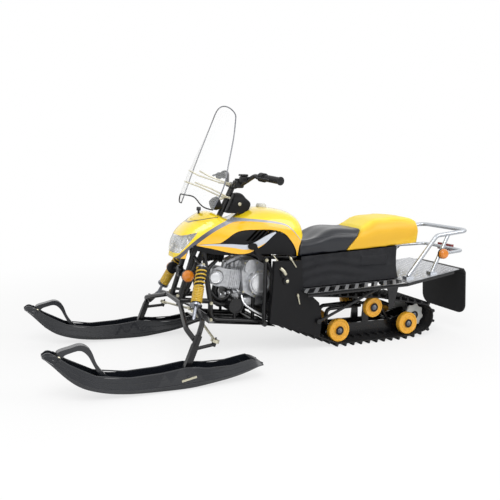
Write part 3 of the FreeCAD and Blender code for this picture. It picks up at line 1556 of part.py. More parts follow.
def handlebar(column):
    """Bent tube with its clamp on the column."""
    tube = bent_tube(bar_points(), bar_diameter, bar_bend)
    clamp = rod(bar_centre - Y_AXIS * clamp_half, bar_centre + Y_AXIS * clamp_half, clamp_block)
    return fused([tube, clamp]).cut(column)


def grips():
    """Rubber grips with a flange at their outer end."""
    points = bar_points()
    along = (points[1] - points[0]).normalize()
    bore = bar_diameter + fit_gap
    start = points[0]
    flange = ring(start, start + along * grip_flange_thickness, grip_flange, bore)
    inner = start + along * (grip_length - grip_flange_thickness)
    collar = ring(inner, inner + along * grip_flange_thickness, grip_flange, bore)
    return both(fused([ring(start, start + along * grip_length, grip_diameter, bore), flange, collar]))


def controls():
    """Switch housings with their lever perches and levers."""
    points = bar_points()
    along = (points[1] - points[0]).normalize()
    a = points[0] + along * (grip_length + control_gap)
    b = a + along * control_length
    housing = ring(a, b, control_diameter, bar_diameter + fit_gap)
    mid = (a + b) * 0.5
    ahead = mid + X_AXIS * lever_reach
    path = [mid + X_AXIS * lever_root, ahead - along * (control_length / 2)]
    path.append(ahead - X_AXIS * sheet - along * lever_length)
    lever = bent_tube(path, lever_diameter, lever_diameter)
    near, far = lever_root - lever_diameter, lever_root + lever_diameter
    perch = rod(mid + X_AXIS * near, mid + X_AXIS * far, perch_diameter)
    bore = rod(points[0], points[1], bar_diameter + fit_gap)
    return both(fused([housing, lever, perch]).cut(bore))


# Windshield sections: share of height, share of the way back down the slope, share of half width
shield_station_shares = (
    (0.00, 1.00, 0.93), (0.22, 0.84, 1.00), (0.45, 0.60, 0.90), (0.72, 0.30, 0.74), (1.00, 0.00, 0.50),
)
shield_low_edge_shares = (
    (0.94, 0), (0.90, 0.5), (0.82, 1), (0.68, 0.98), (0.52, 0.5), (0.36, 0.14), (0, 0.14),
    (-0.36, 0.14), (-0.52, 0.5), (-0.68, 0.98), (-0.82, 1), (-0.90, 0.5), (-0.94, 0),
)


def windshield():
    """Bent clear sheet, narrower at the top, with a wavy lower edge."""
    wires = []
    for up, ahead, wide in shield_station_shares:
        z = between(shield_bottom_z, shield_top_z, up)
        x = between(shield_top_x, shield_bottom_x, ahead)
        half = wide * shield_half
        bulge = shield_bulge * wide * wide
        edges, ends = [], []
        for back in (0, shield_sheet):
            a = vec(x - bulge - back, half, z)
            b = vec(x - bulge - back, -half, z)
            edges.append(Part.Arc(a, vec(x - back, 0, z), b).toShape())
            ends.append((a, b))
        edges.append(Part.LineSegment(ends[0][1], ends[1][1]).toShape())
        edges.append(Part.LineSegment(ends[1][0], ends[0][0]).toShape())
        wires.append(Part.Wire(Part.__sortEdges__(edges)))
    top = [(y * shield_half, shield_bottom_z + z * shield_notch) for y, z in shield_low_edge_shares]
    low = [(-shield_half, shield_bottom_z - overrun), (shield_half, shield_bottom_z - overrun)]
    notch = curved_yz([top, low], shield_top_x - far_reach, shield_bottom_x + overrun)
    return Part.makeLoft(wires, True, False).cut(notch)


upper_rod_shares = ((0.805, 0.358), (0.55, 0.308))
lower_rod_shares = ((0.92, 0.249), (0.52, 0.193))
rod_close_share = 0.75


def windshield_rods(shield, column, handle_tube):
    """Bent rods that hold the windshield to the column and the handlebar."""
    rods = []
    for s in (1, -1):
        for shares, rear_z in ((upper_rod_shares, upper_rod_z), (lower_rod_shares, lower_rod_z)):
            front_x = shield_bottom_x - shield_bulge / 3
            spots = placed(shares, shield_rod_rear_x, front_x, shield_bottom_z, shield_top_z)
            path = [vec(x, s * shield_rod_y, z) for x, z in spots]
            path.append(vec(shield_rod_rear_x, s * shield_rod_y * rod_close_share, rear_z))
            rods.append(bent_tube(path, shield_rod, bar_diameter))
    clamp_reach = shield_rod_y - lever_diameter
    for z in (upper_rod_z, lower_rod_z):
        rods.append(cross_rod(shield_rod_rear_x, z, clamp_reach, rod_diameter))
    rods.append(rod(vec(shield_rod_rear_x, 0, upper_rod_z), bar_centre, stay_diameter))
    rods.append(rod(vec(shield_rod_rear_x, 0, lower_rod_z), on_column(lower_rod_z), stay_diameter))
    meter_foot = vec(meter_x, meter_y, meter_z + lever_diameter)
    rods.append(rod(vec(shield_rod_rear_x, meter_y / 2, lower_rod_z), meter_foot, lever_diameter))
    return fused(rods).cut(shield).cut(column).cut(handle_tube)


meter_profile_shares = ((0, 0), (0.73, 0), (1, 0.45), (1, 0.96), (0.9, 1), (0.86, 0.94), (0, 0.94))


def speedometer(rods):
    profile = [(u * meter_radius, w * meter_depth) for u, w in meter_profile_shares]
    facing = vec(-1, 0, meter_tilt_share)
    return turned(profile, vec(meter_x, meter_y, meter_z), facing).cut(rods)


def tie_rod(side):
    """Tie rod with a small eye on the column's stud and a wide one round the steering arm's stud."""
    inner, outer = pitman_ball(side), rod_end()
    if side < 0:
        outer = vec(outer.x, -outer.y, outer.z)
    along = (outer - inner).normalize()
    shank = rod(inner + along * (rod_eye / 2), outer - along * (outer_eye / 2 - 2 * fit_gap), rod_diameter)
    eyes = [
        rod(inner - column_axis * rod_eye_half, inner + column_axis * rod_eye_half, rod_eye),
        rod(outer - kingpin_axis * rod_eye_half, outer + kingpin_axis * rod_eye_half, outer_eye),
    ]
    small = rod(inner - column_axis * overrun, inner + column_axis * overrun, inner_eye_bore)
    wide = rod(outer - kingpin_axis * overrun, outer + kingpin_axis * overrun, outer_eye_bore)
    return fused([shank] + eyes).cut(small).cut(wide)


def track_unit():
    frame, wheels = skid_frame(), track_wheels()
    return {
        "track": track(), "track_sprockets": track_sprockets(), "track_wheels": wheels, "skid_frame": frame,
        "skid_arms": skid_arms(frame, wheels), "tunnel": tunnel(),
    }


def engine_and_body():
    """Everything between the skis and the seat, with the frame cut where other pieces seat in it."""
    outside, inside, skin = body_skins()
    cap, arm = oval_cap(outside)
    cap_zone = curved_region([on_body(cap_shares)]).fuse(region(on_body(cap_arm_shares)))
    block = engine_block()
    cylinder = engine_cylinder(block)
    muffler = exhaust(cylinder)
    arms = suspension_arms()
    dampers = shock_bodies(arms)
    infill = side_infill(cap, arm)
    blades = side_blades(skin, cap_zone)
    lights = lamps()
    frame = chassis_frame(inside, (block, cylinder, muffler, dampers, infill, lights))
    return {
        "chassis_frame": frame, "belly_pan": belly_pan(),
        "engine_block": block, "engine_cylinder": cylinder,
        "carburettor": carburettor(cylinder, block), "exhaust": muffler,
        "body_cover": body_cover(skin).cut(cap_zone).cut(blades), "headlight": headlight(),
        "side_blades": blades, "side_infill": infill,
        "fuel_cap": fuel_cap(outside), "console_pod": console_pod(outside), "lamps": lights, "horn": horn(),
        "suspension_arms": arms, "shock_bodies": dampers, "shock_springs": shock_springs(),
    }


def rear_end():
    cushion, hump = seat_parts()
    panels = side_panels()
    boards = running_boards(panels)
    platform = rear_platform()
    return {
        "side_panels": panels, "running_boards": boards, "rear_platform": platform,
        "rack": rack(platform, boards), "mudflap": mudflap(), "seat_cushion": cushion, "seat_hump": hump,
        "seat_skirt": seat_skirt(),
    }


def steering():
    column, shield = steering_column(), windshield()
    tube = handlebar(column)
    rods = windshield_rods(shield, column, tube)
    return {
        "steering_column": column, "handlebar": tube, "grips": grips(), "controls": controls(),
        "windshield": shield, "windshield_rods": rods, "speedometer": speedometer(rods),
        "tie_rod_left": tie_rod(1), "tie_rod_right": tie_rod(-1),
    }


def skis():
    left_spindle, left_ski = spindle(), ski()
    handle = ski_handle().cut(left_ski)
    return {
        "spindle_left": left_spindle, "spindle_right": mirrored(left_spindle), "ski_left": left_ski,
        "ski_right": mirrored(left_ski), "ski_handle_left": handle, "ski_handle_right": mirrored(handle),
    }


os.makedirs("parts", exist_ok=True)
for group in (track_unit, engine_and_body, rear_end, steering, skis):
    for name, shape in group().items():
        placed_shape = shape.copy()
        placed_shape.translate(vec(-centre_x, 0, 0))
        placed_shape.exportStep(os.path.join("parts", name + ".step"))
print("centre_x", centre_x)
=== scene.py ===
import json
import math

import bmesh
import bpy
import numpy as np
from mathutils import Matrix, Vector
from mathutils.bvhtree import BVHTree


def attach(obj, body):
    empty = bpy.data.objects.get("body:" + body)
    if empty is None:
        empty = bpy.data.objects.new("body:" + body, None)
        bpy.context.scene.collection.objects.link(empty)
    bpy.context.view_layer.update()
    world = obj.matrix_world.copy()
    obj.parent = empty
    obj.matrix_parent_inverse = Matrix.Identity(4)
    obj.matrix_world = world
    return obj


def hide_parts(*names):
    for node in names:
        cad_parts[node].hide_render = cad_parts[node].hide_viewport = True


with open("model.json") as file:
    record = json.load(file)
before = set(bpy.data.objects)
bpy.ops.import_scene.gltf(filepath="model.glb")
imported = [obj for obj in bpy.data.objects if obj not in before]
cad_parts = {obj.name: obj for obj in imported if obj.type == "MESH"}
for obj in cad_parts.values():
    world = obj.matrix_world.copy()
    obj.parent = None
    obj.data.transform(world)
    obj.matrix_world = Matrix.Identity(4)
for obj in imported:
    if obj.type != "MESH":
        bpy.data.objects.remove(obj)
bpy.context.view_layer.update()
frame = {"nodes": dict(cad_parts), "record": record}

MACHINE, STEERING = "machine", "steering"
SLOTS = {row["node"]: row["material_slot"] for row in frame["record"]["subparts"]}
BODY_OF = {n: b for b, members in frame["record"]["behaviour"]["bodies"].items() for n in members}

# View of the photograph: its side and focal length in pixels, the eye's place in m, the turns in radians
PHOTO_SIDE = 500
PHOTO_FOCAL = 608.57
EYE = Vector((1.459141, 2.884791, 0.997935))
HEADING, DIP, ROLL = 0.4324568, 0.1445142, 0.0273957
SENSOR_WIDTH = 36.0
VIEW_END = 60.0

# Light: the sky's level on matt surfaces; in mirrors its two levels, and the heights where it changes
WHITE = (1, 1, 1)
SKY_LEVEL = 0.62
MIRROR_LEVELS, MIRROR_HEIGHTS = (0.22, 1.25), (-0.05, 0.24)
# Lamps: name, place, target, diameter, power
LAMPS = (
    ("key", (1.6, 3.0, 3.4), (0.1, 0, 0.5), 2.6, 95.0),
    ("fill", (-2.6, 2.6, 2.2), (0, 0, 0.5), 2.4, 40.0),
)
# Floor: half its side, its colour, and its own light's two shares and the distances between which it grows
FLOOR_HALF = 14.0
FLOOR_COLOUR = (0.93, 0.93, 0.93)
GLOW_SHARES, GLOW_REACH = (0.72, 1.0), (0.9, 3.2)
# Half breadth of a painted edge, in m
EDGE_SOFT = 0.0008


def new_object(name, data):
    """Object at the origin, in the scene."""
    thing = bpy.data.objects.new(name, data)
    bpy.context.scene.collection.objects.link(thing)
    return thing


def place_camera():
    """Camera at the photograph's eye point, aimed by heading, dip and roll."""
    level = math.cos(DIP)
    ahead = Vector((-math.sin(HEADING) * level, -math.cos(HEADING) * level, -math.sin(DIP)))
    right = Vector((-math.cos(HEADING), math.sin(HEADING), 0))
    up = right.cross(ahead)
    across = right * math.cos(ROLL) + up * math.sin(ROLL)
    above = up * math.cos(ROLL) - right * math.sin(ROLL)
    turn = Matrix((across, above, -ahead)).transposed().to_4x4()
    data = bpy.data.cameras.new("photo_view")
    data.sensor_width = SENSOR_WIDTH
    data.lens = PHOTO_FOCAL / PHOTO_SIDE * SENSOR_WIDTH
    data.clip_end = VIEW_END
    camera = new_object("photo_view", data)
    camera.matrix_world = Matrix.Translation(EYE) @ turn
    bpy.context.scene.camera = camera


class Graph:
    """Shader nodes of a material or world; an input takes a socket, a number or a colour."""

    def __init__(self, owner):
        owner.use_nodes = True
        self.nodes, self.links = owner.node_tree.nodes, owner.node_tree.links

    def feed(self, socket, value):
        if isinstance(value, bpy.types.NodeSocket):
            self.links.new(value, socket)
        else:
            socket.default_value = value + (1,) if isinstance(value, tuple) else value

    def add(self, kind, inputs=None, **settings):
        """New node with its settings, then its inputs by name or number."""
        node = self.nodes.new("ShaderNode" + kind)
        for name, value in settings.items():
            setattr(node, name, value)
        for key, value in (inputs or {}).items():
            self.feed(node.inputs[key], value)
        return node

    def maths(self, operation, first, second=None, clamp=False):
        inputs = {0: first} if second is None else {0: first, 1: second}
        return self.add("Math", inputs, operation=operation, use_clamp=clamp).outputs[0]

    def plus(self, first, second):
        return self.maths("ADD", first, second)

    def minus(self, first, second):
        return self.maths("SUBTRACT", first, second)

    def times(self, first, second):
        return self.maths("MULTIPLY", first, second)

    def ramp(self, value, low, high, to_low=0.0, to_high=1.0, way="LINEAR"):
        """Value's range from low to high brought to another, and held at its ends outside."""
        inputs = {"Value": value, "From Min": low, "From Max": high, "To Min": to_low, "To Max": to_high}
        return self.add("MapRange", inputs, interpolation_type=way).outputs["Result"]

    def step(self, value, edge=0.0, soft=EDGE_SOFT):
        """0 below an edge, 1 above it, over a narrow ramp."""
        return self.ramp(value, edge - soft, edge + soft)

    def under(self, value, edge, soft=EDGE_SOFT):
        """1 below an edge, 0 above it."""
        return self.minus(1.0, self.step(value, edge, soft))

    def blend(self, share, first, second):
        """Colour from the first to the second by a share."""
        inputs = {"Factor": share, "A": first, "B": second}
        return self.add("Mix", inputs, data_type="RGBA").outputs["Result"]

    def mixed(self, share, first, second):
        """Shader from the first to the second by a share."""
        return self.add("MixShader", {0: share, 1: first, 2: second}).outputs[0]

    def axes(self, place):
        return tuple(self.add("SeparateXYZ", {0: place}).outputs)

    def background_ray(self):
        """1 for rays that see the background: from the camera, or through glass."""
        path = self.add("LightPath").outputs
        return self.maths("MAXIMUM", path["Is Camera Ray"], path["Is Transmission Ray"])


def light_world():
    """White for the camera, an even sky for matt surfaces, and for mirrors one that darkens downwards."""
    world = bpy.data.worlds.new("studio")
    bpy.context.scene.world = world
    g = Graph(world)
    g.nodes.clear()
    height = g.axes(g.add("TexCoord").outputs["Generated"])[2]
    mirror_level = g.ramp(height, *MIRROR_HEIGHTS, *MIRROR_LEVELS, "SMOOTHSTEP")
    soft, mirror, white = (g.add("Background", {"Color": WHITE, "Strength": level}).outputs[0]
                           for level in (SKY_LEVEL, mirror_level, 1.0))
    seen = g.mixed(g.add("LightPath").outputs["Is Glossy Ray"], soft, mirror)
    g.add("OutputWorld", {"Surface": g.mixed(g.background_ray(), seen, white)})


def area_light(name, place, target, size, power):
    data = bpy.data.lights.new(name, "AREA")
    data.shape = "DISK"
    data.size = size
    data.energy = power
    lamp = new_object(name, data)
    lamp.location = place
    lamp.rotation_euler = (Vector(target) - Vector(place)).to_track_quat("-Z", "Y").to_euler()


def make_floor():
    """Pale floor whose own light grows with the distance, so that it meets the white sky unseen."""
    material = bpy.data.materials.new("pale_floor")
    g = Graph(material)
    g.nodes.clear()
    reach = g.add("VectorMath", {0: g.add("TexCoord").outputs["Object"]}, operation="LENGTH")
    fade = g.ramp(reach.outputs["Value"], *GLOW_REACH, *GLOW_SHARES, "SMOOTHSTEP")
    matt = g.add("BsdfDiffuse", {"Color": FLOOR_COLOUR}).outputs[0]
    glow = g.add("Emission", {"Color": WHITE}).outputs[0]
    shader = g.mixed(g.times(g.background_ray(), fade), matt, glow)
    g.add("OutputMaterial", {"Surface": shader})
    mesh = bpy.data.meshes.new("floor")
    corners = [(x * FLOOR_HALF, y * FLOOR_HALF, 0) for x, y in ((-1, -1), (1, -1), (1, 1), (-1, 1))]
    mesh.from_pydata(corners, [], [(0, 1, 2, 3)])
    mesh.materials.append(material)
    new_object("floor", mesh)


# Finishes
LOOKS = {"metal": "Metallic", "coat": "Coat Weight", "specular": "Specular IOR Level", "alpha": "Alpha",
         "transmission": "Transmission Weight", "sheen": "Sheen Weight"}
COAT_ROUGHNESS = 0.08
ROUGHNESS_SWING, LEAST_ROUGHNESS = 0.06, 0.02
TINT_DETAIL, GRAIN_DETAIL = 4.0, 3.0
BUMP_DEPTH = 0.001


def finish_of(name, colour, roughness, grain=0.0, grain_size=400.0, tint=0.0, tint_size=9.0, bump_of=None,
              **looks):
    """Principled finish: colour shifted a little by coarse noise, roughness and bump by fine noise.

    The colour is fixed, or a function builds it from the object's coordinates; bump_of builds a height."""
    material = bpy.data.materials.new(name)
    g = Graph(material)
    shader = g.nodes["Principled BSDF"].inputs
    shader["Coat Roughness"].default_value = COAT_ROUGHNESS
    for look, value in looks.items():
        shader[LOOKS[look]].default_value = value
    place = g.add("TexCoord").outputs["Object"]
    noise = {"Vector": place, "Scale": tint_size, "Detail": TINT_DETAIL}
    cloud = g.add("TexNoise", noise).outputs["Fac"]
    if callable(colour):
        tone = {"Value": g.ramp(cloud, 0.0, 1.0, 1 - tint, 1 + tint), "Color": colour(g, place)}
        base = g.add("HueSaturation", tone).outputs["Color"]
    else:
        dark, light = (tuple(min(1, c * (1 + turn)) for c in colour) for turn in (-tint, tint))
        base = g.blend(cloud, dark, light)
    g.feed(shader["Base Color"], base)
    noise = {"Vector": place, "Scale": grain_size, "Detail": GRAIN_DETAIL}
    speck = g.add("TexNoise", noise).outputs["Fac"]
    least, most = max(LEAST_ROUGHNESS, roughness - ROUGHNESS_SWING), min(1, roughness + ROUGHNESS_SWING)
    g.feed(shader["Roughness"], g.ramp(speck, 0.0, 1.0, least, most))
    if grain or bump_of:
        height = bump_of(g, place) if bump_of else speck
        bump = g.add("Bump", {"Strength": grain, "Distance": BUMP_DEPTH, "Height": height})
        g.feed(shader["Normal"], bump.outputs["Normal"])
    return material


# Box of x and z that the painted lines run in
PAINT_LOW, PAINT_HIGH = (-0.13, 0.50), (0.57, 0.78)
# Stripe along the body: place, height of its middle, its breadth up and down
STRIPE = (
    (-0.13, 0.575, 0.001), (-0.077, 0.626, 0.005), (-0.043, 0.657, 0.007), (-0.007, 0.680, 0.008),
    (0.046, 0.693, 0.010), (0.114, 0.702, 0.011), (0.175, 0.707, 0.012), (0.231, 0.707, 0.013),
    (0.294, 0.700, 0.016), (0.325, 0.691, 0.019), (0.360, 0.677, 0.021), (0.395, 0.657, 0.022),
    (0.4285, 0.634, 0.024), (0.466, 0.604, 0.025), (0.4963, 0.576, 0.026), (0.5231, 0.548, 0.026),
    (0.57, 0.493, 0.026),
)
STRIPE_TOP = [(x, z + wide / 2) for x, z, wide in STRIPE]
STRIPE_LOW = [(x, z - wide / 2) for x, z, wide in STRIPE]
# Painted light on the grey stripe: a painted highlight behind this x turns to painted shade ahead of it, over
# this half length
STRIPE_SHADE_TURN_X, STRIPE_SHADE_TURN_HALF = 0.36, 0.07
# Painted shade along the groove beside the hood: its line, half its breadth, its soft edge, its two ends and
# their soft edge
GROOVE = ((-0.13, 0.77), (0.32, 0.735), (0.344, 0.7225), (0.386, 0.7185), (0.432, 0.709),
          (0.472, 0.6955), (0.493, 0.682), (0.57, 0.64))
GROOVE_HALF, GROOVE_SOFT, GROOVE_ENDS, GROOVE_END_SOFT = 0.0016, 0.0007, (0.352, 0.482), 0.004
# Line between the blade's silver band and its yellow
BLADE_SPLIT = ((-0.13, 0.66), (0.031, 0.636), (0.092, 0.603), (0.152, 0.574), (0.205, 0.562),
               (0.291, 0.574), (0.368, 0.583), (0.475, 0.588), (0.57, 0.59))
BLADE_SOFT = 0.0012
TOP_YELLOW, SIDE_YELLOW = (0.98, 0.71, 0.015), (0.93, 0.50, 0.012)
# The stripe's grey: painted shade towards the nose, painted highlight towards the rear
STRIPE_SHADE_GREY, STRIPE_HIGHLIGHT_GREY = (0.075, 0.075, 0.105), (0.36, 0.38, 0.43)
# Silver of the blade's band; dark brown of the painted shade in the hood's groove
BAND_SILVER, GROOVE_SHADE_BROWN = (0.55, 0.58, 0.64), (0.10, 0.07, 0.01)


def line_height(g, x, points):
    """Height of a smooth curve through (x, z) points, at each place's x."""
    (x0, z0), (x1, z1) = PAINT_LOW, PAINT_HIGH
    along = g.maths("DIVIDE", g.minus(x, x0), x1 - x0, True)
    curve = g.add("FloatCurve", {"Value": along})
    line = curve.mapping.curves[0].points
    spots = sorted(((x - x0) / (x1 - x0), (z - z0) / (z1 - z0)) for x, z in points)
    for spot in spots[1:-1]:
        line.new(*spot)
    line[0].location = spots[0]
    line[-1].location = spots[-1]
    curve.mapping.update()
    return g.plus(g.times(curve.outputs[0], z1 - z0), z0)


def cover_paint(g, place):
    """Bright yellow above a grey stripe, golden below it; on the stripe a painted highlight behind and
    painted shade ahead, and a dark line of painted shade in the groove over the hood's side.
    """
    x, _, z = g.axes(place)
    above = g.step(g.minus(z, line_height(g, x, STRIPE_TOP)))
    below = g.step(g.minus(line_height(g, x, STRIPE_LOW), z))
    # Painted highlight on the stripe's rear part, painted shade towards the nose
    colour = g.blend(g.step(x, STRIPE_SHADE_TURN_X, STRIPE_SHADE_TURN_HALF), STRIPE_HIGHLIGHT_GREY, STRIPE_SHADE_GREY)
    colour = g.blend(above, colour, TOP_YELLOW)
    colour = g.blend(below, colour, SIDE_YELLOW)
    # Painted shade: a dark brown line along the groove over the hood's side
    off = g.maths("ABSOLUTE", g.minus(z, line_height(g, x, GROOVE)))
    start, end = GROOVE_ENDS
    within = g.times(g.step(x, start, GROOVE_END_SOFT), g.under(x, end, GROOVE_END_SOFT))
    return g.blend(g.times(g.under(off, GROOVE_HALF, GROOVE_SOFT), within), colour, GROOVE_SHADE_BROWN)


def blade_paint(g, place):
    """Silver band along the blade's upper side, golden yellow below."""
    x, _, z = g.axes(place)
    above = g.step(g.minus(z, line_height(g, x, BLADE_SPLIT)), 0.0, BLADE_SOFT)
    return g.blend(above, SIDE_YELLOW, BAND_SILVER)


# Running boards: first slot's front, its outer end, the slots' pitch and slant, the bars' share of the pitch
BOARD_FRONT_X, BOARD_SLOT_Y, BOARD_PITCH, BOARD_SLANT = -0.083, 0.252, 0.062, 0.757
BOARD_BAR_SHARE, BOARD_BAR_SOFT = 0.36, 0.02
# Field of the slots' painted shade from the inner to the outer side, the black lip outside it and the height
# of the struts' tops
BOARD_INNER_Y, BOARD_OUTER_Y, BOARD_LIP_Y, BOARD_LIP_SOFT, BOARD_STRUT_Z = 0.168, 0.262, 0.2688, 0.0004, 0.334
# Bright aluminium; dark for the black lip and struts, and as painted shade in the slots
BOARD_BRIGHT, BOARD_DARK = (0.72, 0.73, 0.75), (0.010, 0.010, 0.011)


def board_paint(g, place):
    """Bright bars between the slanted slots and along the edge; painted shade in the open slots, black lip
    and struts.

    The bars repeat with (x - front + slant * (slot end - |y|)) / pitch, as the slots do."""
    x, y, z = g.axes(place)
    side = g.maths("ABSOLUTE", y)
    along = g.plus(g.minus(x, BOARD_FRONT_X), g.times(g.minus(BOARD_SLOT_Y, side), BOARD_SLANT))
    turn = g.maths("FRACT", g.maths("DIVIDE", along, BOARD_PITCH))
    field = g.times(g.step(side, BOARD_INNER_Y), g.under(side, BOARD_OUTER_Y))
    # Painted shade where the slots open through the board
    slots = g.times(g.step(turn, BOARD_BAR_SHARE, BOARD_BAR_SOFT), field)
    edges = g.maths("MAXIMUM", g.step(side, BOARD_LIP_Y, BOARD_LIP_SOFT), g.under(z, BOARD_STRUT_Z))
    return g.blend(g.maths("MAXIMUM", slots, edges), BOARD_BRIGHT, BOARD_DARK)


def two_colours(axis, edge, first, second, soft=EDGE_SOFT):
    """Paint with its second colour from an edge on, along X or from the middle outwards along Y."""
    def paint(g, place):
        value = g.axes(place)["XY".index(axis)]
        if axis == "Y":
            value = g.maths("ABSOLUTE", value)
        return g.blend(g.step(value, edge, soft), first, second)
    return paint


# Silver filler cap, black knob ahead of it; red tail lamp, amber domes ahead of it; pale rear discs, black
# drums ahead of them; painted light on the hump's one yellow: lemon over its top, golden painted shade down
# its sides
CAP_PAINT = two_colours("X", 0.28, (0.62, 0.62, 0.56), (0.012, 0.012, 0.013))
LAMP_PAINT = two_colours("X", -1.1, (0.22, 0.010, 0.008), (0.66, 0.20, 0.010))
SPROCKET_PAINT = two_colours("X", -0.5, (0.68, 0.70, 0.68), (0.02, 0.02, 0.022))
HUMP_PAINTED_LIGHT = two_colours("Y", 0.120, (0.95, 0.74, 0.06), (0.78, 0.44, 0.016), 0.012)
LEATHER_CELLS, LEATHER_TOP = 420.0, 0.25
WEAVE_WAVES, WEAVE_WAVER = 260.0, 0.6


def leather_height(g, place):
    """Pebbled grain: distance to the nearest cell edge of a fine Voronoi pattern."""
    inputs = {"Vector": place, "Scale": LEATHER_CELLS}
    cells = g.add("TexVoronoi", inputs, feature="DISTANCE_TO_EDGE")
    return g.maths("MINIMUM", cells.outputs["Distance"], LEATHER_TOP)


def weave_height(g, place):
    """Coarse plain weave as the sum of two fine waves."""
    inputs = {"Vector": place, "Scale": WEAVE_WAVES, "Distortion": WEAVE_WAVER}
    return g.plus(*(g.add("TexWave", inputs, bands_direction=way).outputs["Fac"] for way in ("X", "Z")))


# Colour, roughness and the rest of every finish: first those of the record's slots, then the scene's own
FINISH_ROWS = {
    "track_rubber": ((0.009, 0.009, 0.010), 0.55, dict(grain=0.35, grain_size=260, tint=0.35, specular=0.3)),
    "wheel_yellow": ((0.80, 0.40, 0.03), 0.38, dict(tint=0.14, tint_size=60, coat=0.15)),
    "black_steel": ((0.006, 0.006, 0.007), 0.28, dict(coat=0.3, tint=0.2, grain=0.05, specular=0.3)),
    "bright_sheet": ((0.74, 0.75, 0.77), 0.30, dict(metal=0.9, tint=0.08, grain=0.1)),
    "engine_alloy": ((0.50, 0.51, 0.53), 0.34,
                     dict(metal=0.80, grain=0.5, grain_size=420, tint=0.5, tint_size=70)),
    "body_yellow": (cover_paint, 0.22, dict(coat=0.7, tint=0.02)),
    "black_plastic": ((0.006, 0.006, 0.007), 0.42, dict(grain=0.15, grain_size=700, tint=0.15, specular=0.2)),
    "lens_clear": ((0.93, 0.95, 0.96), 0.08, dict(coat=0.6, transmission=0.6, alpha=0.55)),
    "shield_clear": ((0.93, 0.95, 0.96), 0.06, dict(specular=0.35, alpha=0.10)),
    "silver_tube": ((0.46, 0.48, 0.51), 0.28, dict(metal=0.85, tint=0.06)),
    "amber_lens": (LAMP_PAINT, 0.15, dict(coat=0.6)),
    "black_rubber": ((0.010, 0.010, 0.011), 0.6, dict(grain=0.3, grain_size=380, tint=0.25, specular=0.3)),
    "seat_cover": ((0.006, 0.0075, 0.012), 0.36,
                   dict(grain=0.22, tint=0.12, coat=0.22, specular=0.45, bump_of=leather_height)),
    "skirt_cloth": ((0.006, 0.0065, 0.009), 0.55,
                    dict(grain=0.35, tint=0.25, sheen=0.03, specular=0.28, bump_of=weave_height)),
    "damper_steel": ((0.22, 0.23, 0.26), 0.28, dict(metal=0.85)),
    "spring_yellow": ((0.60, 0.38, 0.02), 0.26, dict(coat=0.5, tint=0.05)),
    "zinc_steel": ((0.60, 0.57, 0.44), 0.3, dict(metal=0.8, tint=0.08)),
    "ski_plastic": ((0.008, 0.0095, 0.013), 0.26, dict(tint=0.25, specular=0.55, coat=0.25)),
    "blade_paint": (blade_paint, 0.24, dict(coat=0.6, tint=0.02)),
    "board_paint": (board_paint, 0.32, dict(metal=0.7, tint=0.06, grain=0.1)),
    "cap_paint": (CAP_PAINT, 0.3, dict(coat=0.3)),
    "tread_plate": ((0.40, 0.41, 0.43), 0.3, dict(metal=0.9, tint=0.6, tint_size=55, grain=0.2)),
    "cover_alloy": ((0.78, 0.79, 0.81), 0.3, dict(metal=0.85, grain=0.2, grain_size=700, tint=0.06)),
    # The hump's yellow is painted lighter over its top and darker down its sides, as painted light and shade
    "hump_yellow": (HUMP_PAINTED_LIGHT, 0.42, dict(grain=0.2, tint=0.03, bump_of=leather_height)),
    "disc_white": (SPROCKET_PAINT, 0.4, dict(tint=0.06)),
    "dark_trim": ((0.008, 0.008, 0.009), 0.4, dict(grain=0.1, specular=0.35)),
    "rim_grey": ((0.12, 0.125, 0.145), 0.25, dict(coat=0.3)),
    "mirror_chrome": ((0.80, 0.81, 0.83), 0.12, dict(metal=1.0, tint=0.03)),
    "hub_grey": ((0.16, 0.17, 0.20), 0.3, dict(metal=0.6, tint=0.1)),
    "dial_white": ((0.75, 0.75, 0.73), 0.4, dict(tint=0.03)),
}
FINISHES = {name: finish_of(name, colour, roughness, **rest)
            for name, (colour, roughness, rest) in FINISH_ROWS.items()}

# CAD nodes that scene.py remakes, and those whose finish isn't their slot's
REMADE = ("seat_cushion", "seat_hump", "seat_skirt", "windshield", "shock_springs")
OTHER_FINISH = {
    "side_blades": "blade_paint", "track_sprockets": "disc_white", "running_boards": "board_paint",
    "fuel_cap": "cap_paint", "rear_platform": "tread_plate", "tunnel": "black_steel",
    "belly_pan": "black_steel",
}
CREASE, SHARP = math.radians(32), math.radians(40)
WELD_REACH = 0.00002
UP, SIDEWAYS = (0, 0, 1), (0, 1, 0)


def shade(mesh, finish):
    """Smooth faces and one finish."""
    mesh.polygons.foreach_set("use_smooth", np.ones(len(mesh.polygons), bool))
    mesh.materials.clear()
    mesh.materials.append(FINISHES[finish])


def merged_copy(node):
    """Copy of the node's mesh with its loose corners joined and its creases marked."""
    mesh = frame["nodes"][node].data.copy()
    work = bmesh.new()
    work.from_mesh(mesh)
    bmesh.ops.remove_doubles(work, verts=work.verts, dist=WELD_REACH)
    for edge in work.edges:
        edge.smooth = len(edge.link_faces) == 2 and edge.calc_face_angle(0) < CREASE
    work.to_mesh(mesh)
    work.free()
    return mesh


def settle(piece, body, nodes=()):
    """Gives a piece its body and hides the CAD nodes that it stands for."""
    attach(piece, body)
    if nodes:
        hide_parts(*nodes)
    return piece


def dress(node):
    """Replaces a node by its merged copy in its finish."""
    mesh = merged_copy(node)
    shade(mesh, OTHER_FINISH.get(node, SLOTS[node]))
    settle(new_object(node + "_dressed", mesh), BODY_OF[node], (node,))


def grid_faces(rows, columns, closed=False):
    """Quads of a grid of rows x columns points, every row closed to a ring where asked."""
    i, j = np.meshgrid(np.arange(rows - 1), np.arange(columns if closed else columns - 1), indexing="ij")
    over = (j + 1) % columns
    quads = (i * columns + j, (i + 1) * columns + j, (i + 1) * columns + over, i * columns + over)
    return np.stack(quads, axis=-1).reshape(-1, 4)


